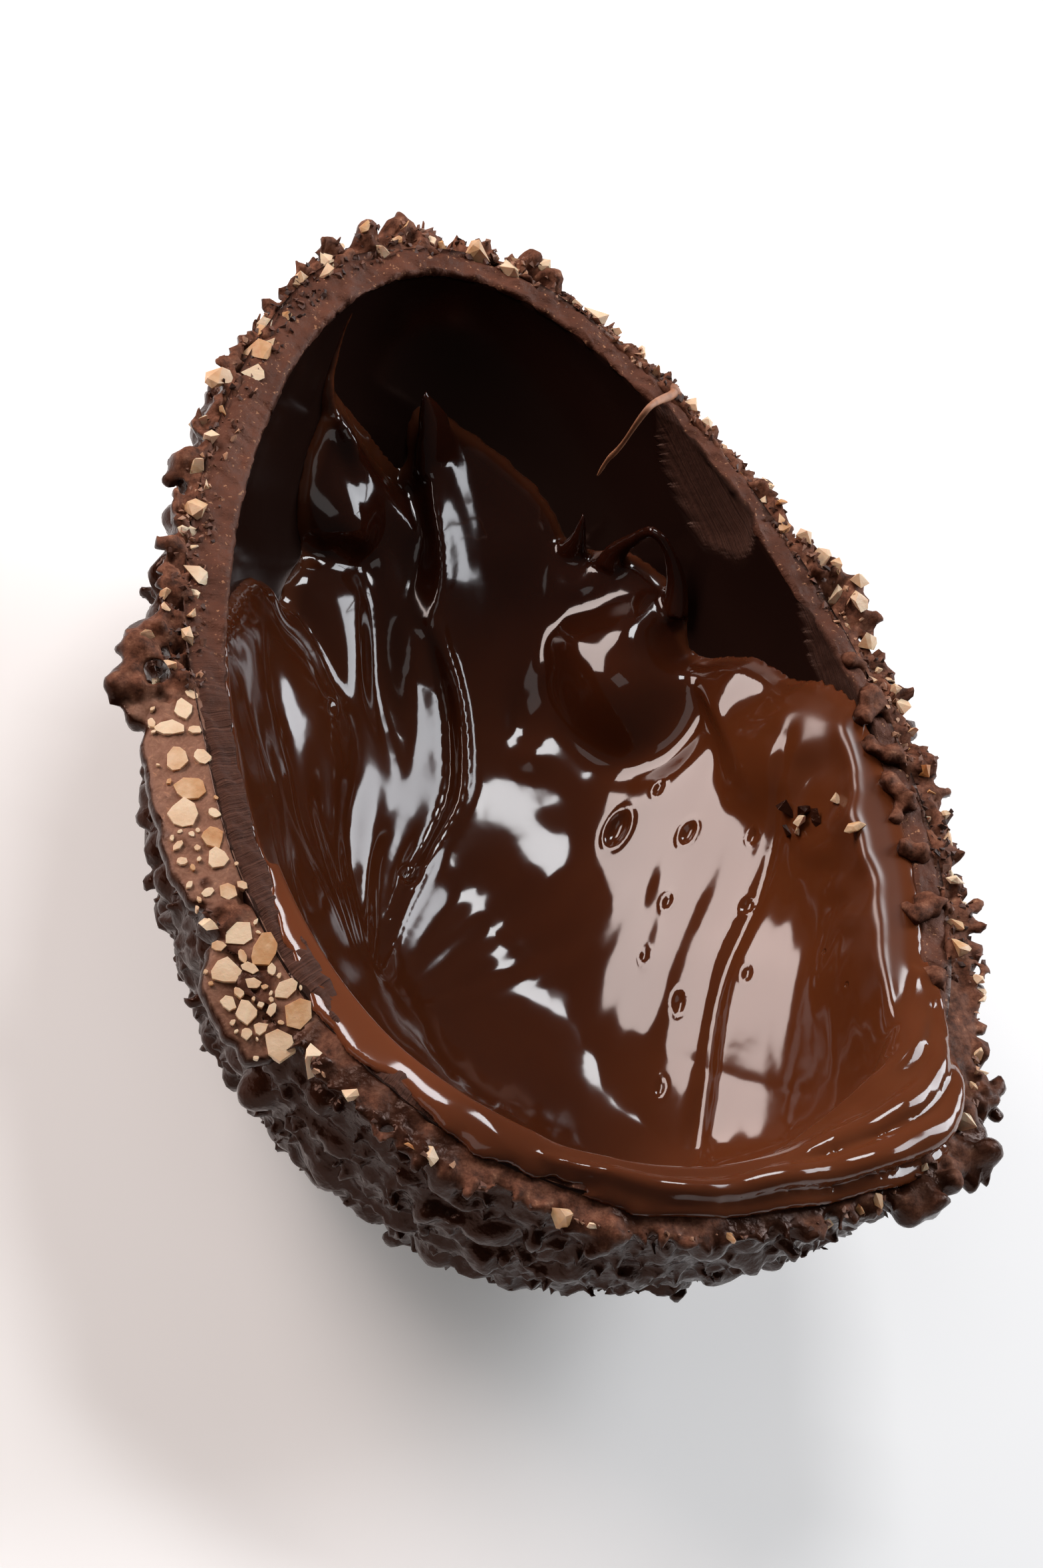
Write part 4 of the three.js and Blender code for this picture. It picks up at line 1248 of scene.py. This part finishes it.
def make_coat():
    parts = [coat_body(), *outside_lumps(), rim_lumps(), coat_clots(), *drips(), *cut_slabs()]
    coat = mesh_piece("coat_chocolate", *join_parts(parts), "nut_coat")
    fuse(coat, COAT_VOXEL, 2, COAT_TRIANGLES)
    drop_loose_islands(coat)
    points = egg_frame_points(coat)
    points[:, 2] = np.maximum(points[:, 2], -FOOT_HEIGHT)
    bearings = bearings_on_rim(points)
    inset = HALF_WIDTH * (1 - np.hypot(*outline_shares(points)))
    upward = point_normals(coat)[:, 2]
    cut = np.zeros(len(points))
    for start, end, fall, _ in CUT_FACES:
        over = points[:, 2] - cut_height(fall, inset)
        flush = smooth(1.1, 0.5, np.abs(over)) * smooth(0.6, 0.85, upward)
        cut = np.maximum(cut, sector(bearings, start, end, 1.5) * flush)
        points[:, 2] -= np.clip(over - 0.05, 0, 2.5) * sector(bearings, start, end, 0.8)
    top = smooth(-3.4, -1.4, points[:, 2] + 0.9 * wave_noise(points, 4, 50))
    greasy = sector(bearings, *GREASY_RIM) * smooth(-0.25, 0.35, wave_noise(points, 6, 51))
    broken = top * smooth(0.0, 0.5, upward) * (1 - 0.85 * greasy)
    points = np.where(cut[:, None] > 0.3, points, sink_pits(points.copy()))
    move_points(coat, points)
    paint(coat, "broken", np.clip(broken, 0, 1))
    paint(coat, "cut", np.clip(cut, 0, 1))
    return coat


def coat_finish():
    finish = Finish("milk_chocolate_coat")
    broken = finish.painted("broken")
    cut = finish.painted("cut")
    outside = finish.mix(finish.noise(120), COAT_DARK, COAT_SHEEN)
    crumbs = finish.ramp(finish.noise(480, 5, 0.75), (0.36, CRUMB_DARK), (0.50, BROKEN_COAT),
                         (0.62, CRUMB_BROWN), (0.72, CRUMB_PALE))
    sliced = finish.ramp(finish.noise(900, 4, 0.7, 1.5), (0.40, CUT_COAT), (0.58, CUT_COAT_LIGHT),
                         (0.74, CRUMB_PALE))
    gloss = finish.ramp(finish.noise(90, 4), (0.35, 0.10), (0.7, 0.26))
    dull = finish.mix(broken, gloss, BROKEN_COAT_ROUGHNESS)
    fine = finish.bump(finish.noise(800, 4), 0.14)
    finish.set(
        Base_Color=finish.mix(cut, finish.mix(broken, outside, crumbs), sliced),
        Roughness=finish.mix(cut, dull, CUT_ROUGHNESS),
        Normal=finish.bump(finish.noise(260, 3, 0.5), 0.55, Normal=fine),
        IOR=CHOCOLATE_IOR, Specular_IOR_Level=COAT_SHINE, Specular_Tint=WARM_GLOSS,
    )
    return finish


coat = make_coat()
coating = coat_finish()
coating.dress(coat)
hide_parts("nut_coat")

# ---------------------------------------------------------------------------------------------
# Chopped hazelnuts and crumbs
# Roasted, skinned hazelnuts chopped to bits of 2 to 5 mm. They show where the coat is broken:
# whole bits standing in the crumbly rim, and flat sections in the two cut slabs. Crumbs of
# broken coat lie between them.
# ---------------------------------------------------------------------------------------------
RIM_NUT_TRIES = 330
RIM_NUT_SIZE = (0.9, 2.6)
CRUMB_TRIES = 1500
CRUMB_SIZE = (0.25, 0.85)
# Nuts crowded on a clump: bearing, how many, radius
NUT_CLUSTERS = [(17, 9, 2.3), (20.5, 4, 1.9), (30, 4, 1.8), (72, 4, 1.9), (97, 3, 1.7), (177, 4, 1.6),
                (2, 3, 2.1), (352, 3, 2.0), (41, 3, 2.2), (49, 3, 1.9)]
CUT_NUT_KINDS = [((1.6, 2.5), 7), ((0.8, 1.4), 10), ((0.3, 0.6), 16)]  # radius, how many a slab
CUT_NUT_TRIES = 900  # places tried in a slab for each size
LOWEST_ON_COAT = -4.5  # bits that would come to lie lower than this are left out
LOWEST_ON_SHELL = -1.2
NUT_PALE = (0.78, 0.60, 0.41)
NUT_CREAM = (0.68, 0.46, 0.28)
NUT_TOASTED = (0.55, 0.30, 0.13)
NUT_ROASTED = (0.46, 0.19, 0.06)
NUT_ROUGHNESS = 0.48
LOOSE_CRUMB_LIGHT = (0.24, 0.11, 0.065)
LOOSE_CRUMB_PALE = (0.52, 0.29, 0.17)
CRUMB_ROUGHNESS = 0.62


def bits_piece(name, points, faces, owners, seed, edge):
    """A piece made of bits, each in its own shade and with its edges worn by `edge` millimetres."""
    piece = mesh_piece(name, points, faces)
    shades = np.random.default_rng(seed).uniform(0, 1, max(owners) + 1)
    paint(piece, "tone_and_painted_shading", shades[owners])
    worn = piece.modifiers.new("worn_edges", "BEVEL")
    worn.width = edge * MILLIMETRE
    worn.segments = 2
    worn.limit_method = "ANGLE"
    worn.angle_limit = math.radians(20)
    return piece


def row_frame(point):
    return Vector(point) * MILLIMETRE + EGG_MIDDLE


def rest_on_rim(centres, radii):
    """Lets bits drop onto the coat or the shell, and leaves out those that would miss."""
    kept = []
    for number, centre in enumerate(centres):
        above = row_frame((*centre[:2], 20))
        hits = [piece.ray_cast(above, (0, 0, -1)) for piece in (coat, shell)]
        on_coat, on_shell = [(place.z - EGG_MIDDLE.z) / MILLIMETRE if hit else -99
                             for hit, place, *_ in hits]
        if on_coat > max(on_shell, LOWEST_ON_COAT) or on_shell > LOWEST_ON_SHELL:
            kept.append(number)
            centre[2] = max(on_coat, on_shell)
    return centres[kept], radii[kept]


def clustered_nuts():
    random = np.random.default_rng(68)
    centres, radii = [], []
    for bearing, count, radius in NUT_CLUSTERS:
        for _ in range(count):
            place = rim_places(bearing + random.uniform(-2.6, 2.6))
            centres.append(egg_points(place, random.uniform(-1.6, 3.6) - coat_thicker(place))[0])
            radii.append(radius * random.uniform(0.6, 1.1))
    return rest_on_rim(np.array(centres), np.array(radii))


def scattered_bits(tries, size, inward_range, seed):
    random = np.random.default_rng(seed)
    return rest_on_rim(*rim_spots(random, tries, size, inward_range, 1.0, 0.25)[2:])


def make_rim_nuts():
    scattered = scattered_bits(RIM_NUT_TRIES, RIM_NUT_SIZE, (0.0, 0.8), 61)
    centres, radii = (np.concatenate(both) for both in zip(clustered_nuts(), scattered))
    fits = spread_out(centres, radii, 0.9)
    centres, radii = centres[fits], radii[fits]
    centres[:, 2] += np.random.default_rng(69).uniform(-0.45, 0.35, len(radii)) * radii
    return bits_piece("rim_hazelnuts", *chopped_bits(centres, radii, 62), 71, 0.14)


def make_crumbs():
    centres, radii = scattered_bits(CRUMB_TRIES, CRUMB_SIZE, (0.0, 1.12), 65)
    random = np.random.default_rng(70)
    centres[:, 2] += random.uniform(-0.1, 0.6, len(radii)) * radii
    points, faces, owners = chopped_bits(centres, radii, 66, corners=(6, 9))
    crumbs = mesh_piece("coat_crumbs", points, faces)
    pale_patches = 0.5 + 0.55 * wave_noise(centres, 11, 67)
    shade = np.clip(pale_patches + random.uniform(-0.25, 0.25, len(centres)), 0, 1)
    paint(crumbs, "tone_and_painted_shading", shade[owners])
    return crumbs


def nut_section(random, middle, radius, bearing, fall):
    """The lower and upper outline of one nut sliced level with a knife-cut face."""
    outward, side = rim_places([bearing, bearing + 90])
    slope = unit(outward * COAT_THICKNESS - np.array([0, 0, fall]))
    up = np.cross(slope, side)
    corners = random.integers(6, 10)
    angle = (np.arange(corners) + random.uniform(-0.3, 0.3, corners)) * 2 * np.pi / corners
    reach = radius * random.uniform(0.78, 1.12, corners)
    spin = random.uniform(0, np.pi)
    x = np.cos(angle) * reach * 1.12
    y = np.sin(angle) * reach * random.uniform(0.6, 1)
    outline = middle + np.outer(x * math.cos(spin) - y * math.sin(spin), slope)
    outline += np.outer(x * math.sin(spin) + y * math.cos(spin), side)
    return outline - up * 1.2, outline + up * 0.3


def cut_spots(random, start, end, fall, outer):
    """Places for the nuts in one cut face, big ones first, none of them touching another."""
    spots = []
    for (low, high), wanted in CUT_NUT_KINDS:
        tries = 0
        while wanted and tries < CUT_NUT_TRIES:
            tries += 1
            bearing = random.uniform(start + 0.6, end - 0.6)
            radius = random.uniform(low, high)
            inset = random.uniform(outer + radius + 0.3, COAT_THICKNESS - 0.6 * radius)
            middle = points_at_rim(bearing, inset, cut_height(fall, inset))[0]
            if any(np.linalg.norm(middle - other) < (radius + size) * 0.9 + 0.25
                   for other, size in spots):
                continue
            spots.append((middle, radius))
            wanted -= 1
            yield middle, radius, bearing, fall


def make_cut_nuts():
    """Flat nut sections, level with the knife-cut faces and just proud of them."""
    random = np.random.default_rng(63)
    points, faces, owners = [], [], []
    for cut_face in CUT_FACES:
        for spot in cut_spots(random, *cut_face):
            lower, upper = nut_section(random, *spot)
            points += [lower, upper]
            n = len(owners) + np.arange(len(lower))
            faces += strip_faces(n, n + len(n)).tolist() + [n[::-1].tolist(), (n + len(n)).tolist()]
            owners += [random.integers(0, 400)] * (2 * len(n))
    return bits_piece("cut_hazelnuts", np.concatenate(points), faces, owners, 73, 0.16)


def nut_finish():
    finish = Finish("roasted_hazelnut")
    toast = finish.sum(finish.noise(170), finish.times(finish.painted("tone_and_painted_shading"), 0.42))
    finish.set(
        Base_Color=finish.ramp(finish.times(toast, 0.62), (0.32, NUT_PALE), (0.47, NUT_CREAM),
                               (0.57, NUT_TOASTED), (0.66, NUT_ROASTED)),
        Roughness=NUT_ROUGHNESS, Normal=finish.bump(finish.noise(1200), 0.1),
        Subsurface_Weight=0.15, Subsurface_Scale=0.0015,
    )
    return finish


def crumb_finish():
    finish = Finish("broken_milk_chocolate")
    shade = finish.sum(finish.painted("tone_and_painted_shading"), finish.times(finish.noise(600, 2), 0.3))
    finish.set(
        Base_Color=finish.ramp(finish.times(shade, 0.77), (0.2, CRUMB_DARK), (0.5, BROKEN_COAT),
                               (0.72, LOOSE_CRUMB_LIGHT), (0.9, LOOSE_CRUMB_PALE)),
        Roughness=CRUMB_ROUGHNESS, Normal=finish.bump(finish.noise(1500), 0.1),
    )
    return finish


hazelnut = nut_finish()
for nuts in (make_rim_nuts(), make_cut_nuts()):
    hazelnut.dress(nuts)
crumb_finish().dress(make_crumbs())

# ---------------------------------------------------------------------------------------------
# Loose bits
# A thin curl of chocolate scraped from the rim hangs over the hollow. A broken bit of coat with
# bits of its nuts, and a sliver of nut, have fallen on the cream.
# ---------------------------------------------------------------------------------------------
CURL_DARK = (0.24, 0.10, 0.052)
CURL_LIGHT = (0.430, 0.190, 0.095)
CURL_ROUGHNESS = 0.55
CURL_HANGING = [(66, 112), (57, 97), (52, 91), (48, 85)]  # over the wall: across, along
CURL_LIFT = [9, 12, 12.5, 12]
CURL_TAPER = ([0, 0.3, 0.9, 1], [1.1, 0.62, 0.42, 0.2])  # shares of its length, half-widths
# Fallen bits: across, along, lift above the cream, radius
FALLEN_COAT = [(70, -10, 0.6, 2.3), (73.5, -13, 0.5, 2.0), (76, -17, 0.2, 1.7), (69, -14, 0.3, 1.4)]
FALLEN_NUTS = [(73, -15.5, 1.3, 1.3), (71, -16.5, 0.6, 1.0), (81, -16, 0.4, 1.2)]


def on_cream(across, along, above):
    """A point on the cream's free face over a place on the wall."""
    start, wall = wall_points([(across, along)] * 2, [30.0, 0.0])
    towards = Vector(wall - start).normalized()
    hit, place, *_ = cream.ray_cast(row_frame(start), towards)
    found = (np.array(place) - np.array(EGG_MIDDLE)) / MILLIMETRE if hit else wall
    return found - np.array(towards) * above


def make_curl():
    rim_end = points_at_rim(46, [5.0, 8.0], [0.4, 1.2])
    path = smooth_path(np.concatenate([rim_end, wall_points(CURL_HANGING, CURL_LIFT)]), 8)
    heading = unit(np.gradient(path, axis=0))
    across = unit(np.cross(heading, (0.2, -0.4, 0.9)))
    through = np.cross(heading, across)
    size = np.interp(np.linspace(0, 1, len(path)), *CURL_TAPER)[:, None]
    size *= 1 + 0.08 * np.sin(np.arange(len(path)) * 0.7)[:, None]
    rings = [oval(*ring, 10) for ring in zip(path, across * size, through * size * 0.55)]
    numbers = np.arange(10 * len(rings)).reshape(-1, 10)
    faces = np.concatenate([strip_faces(a, b) for a, b in zip(numbers, numbers[1:])])
    curl = mesh_piece("scraped_curl", np.concatenate(rings), faces)
    curl.data.shade_smooth()
    return curl


def curl_finish():
    finish = Finish("scraped_chocolate")
    colour = finish.ramp(finish.noise(300), (0.35, CURL_DARK), (0.65, CURL_LIGHT))
    grain = finish.bump(finish.noise(900), 0.08)
    finish.set(Base_Color=colour, Roughness=CURL_ROUGHNESS, Normal=grain)
    return finish


def make_fallen_bits(name, spots, seed, flatness):
    centres = [on_cream(*spot) for *spot, _ in spots]
    bits = chopped_bits(centres, [size for *_, size in spots], seed, flatness)
    return bits_piece(name, *bits, seed + 1, 0.15)


def make_sliver():
    """A thin sliver of nut lying at the edge of the cream."""
    points, faces, owners = chopped_bits([(0, 0, 0)], [1.25], 91, (0.7, 0.8), (18, 19))
    points = points * (2.1, 1.0, 0.8) @ Matrix.Rotation(0.5, 3, "Z").transposed()
    points += on_cream(84, -31, 0.7)
    return bits_piece("hazelnut_sliver", points, faces, owners, 92, 0.25)


curl_finish().dress(make_curl())
coating.dress(make_fallen_bits("fallen_coat", FALLEN_COAT, 81, (0.6, 0.9)))
hazelnut.dress(make_fallen_bits("fallen_hazelnuts", FALLEN_NUTS, 84, (0.5, 0.8)))
hazelnut.dress(make_sliver())

# ---------------------------------------------------------------------------------------------
# The table, the lights and the camera
# A plain pale table top, four soft boxes and an even pale surround. The camera looks down into
# the hollow from beyond the wide end.
# ---------------------------------------------------------------------------------------------
TABLE_REACH = 4.0
TABLE_COLOUR = (0.86, 0.85, 0.84)
TABLE_ROUGHNESS = 0.7
TABLE_GLOW = (1, 0.99, 0.98)
TABLE_GLOW_STRENGTH = 0.2
SURROUND = (1, 0.97, 0.95, 1)
SURROUND_STRENGTH = 0.06
LIT_SPOT = Vector((0, 0.02, 0.04))
# Soft boxes: azimuth and elevation in degrees, distance, width and height, watts, colour
SOFT_BOXES = {
    "warm_box": ((-128, 30), 1.15, (0.80, 0.46), 13.0, (1, 0.85, 0.80)),
    "cool_box": ((106, 31), 1.15, (0.50, 0.76), 11.5, (0.92, 0.95, 1)),
    "high_box": ((165, 62), 1.20, (0.34, 0.28), 4.8, (0.97, 0.98, 1)),
    "front_box": ((-60, 62), 1.40, (0.60, 0.60), 1.0, (1, 0.97, 0.95)),
}
CAMERA_PLACE = Vector((-0.5139, -0.6381, 0.9144))
CAMERA_AIM = Vector((0.0, 0.017, 0.046))
CAMERA_UP = Vector((-0.0689, 0.8148, 0.5756))
CAMERA_LENS = 180.0


def plain_table():
    mesh = bpy.data.meshes.new("table")
    corners = [(x * TABLE_REACH, y * TABLE_REACH, 0) for x, y in ((-1, -1), (1, -1), (1, 1), (-1, 1))]
    mesh.from_pydata(corners, [], [(0, 1, 2, 3)])
    table = bpy.data.objects.new("table", mesh)
    bpy.context.scene.collection.objects.link(table)
    finish = Finish("pale_table")
    finish.set(Base_Color=TABLE_COLOUR, Roughness=TABLE_ROUGHNESS, Emission_Color=TABLE_GLOW,
               Emission_Strength=TABLE_GLOW_STRENGTH)
    finish.dress(table)


def soft_box(name, bearing, distance, size, watts, colour):
    azimuth, elevation = np.radians(bearing)
    way = Vector((
        math.sin(azimuth) * math.cos(elevation), -math.cos(azimuth) * math.cos(elevation),
        math.sin(elevation),
    ))
    light = bpy.data.lights.new(name, "AREA")
    light.shape = "RECTANGLE"
    light.size, light.size_y = size
    light.energy = watts
    light.color = colour
    lamp = bpy.data.objects.new(name, light)
    lamp.location = LIT_SPOT + way * distance
    lamp.rotation_euler = way.to_track_quat("Z", "Y").to_euler()
    bpy.context.scene.collection.objects.link(lamp)


def pale_surround():
    world = bpy.data.worlds.new("studio")
    world.use_nodes = True
    background = world.node_tree.nodes["Background"]
    background.inputs["Color"].default_value = SURROUND
    background.inputs["Strength"].default_value = SURROUND_STRENGTH
    bpy.context.scene.world = world


def camera():
    data = bpy.data.cameras.new("camera")
    data.lens = CAMERA_LENS
    data.clip_start = 0.05
    eye = bpy.data.objects.new("camera", data)
    back = (CAMERA_PLACE - CAMERA_AIM).normalized()
    right = CAMERA_UP.cross(back).normalized()
    up = back.cross(right)
    turn = Matrix((right, up, back)).transposed().to_4x4()
    eye.matrix_world = Matrix.Translation(CAMERA_PLACE) @ turn
    bpy.context.scene.collection.objects.link(eye)
    bpy.context.scene.camera = eye


plain_table()
pale_surround()
for name, box in SOFT_BOXES.items():
    soft_box(name, *box)
camera()
bpy.context.scene.view_settings.view_transform = "Standard"

bpy.context.view_layer.update()
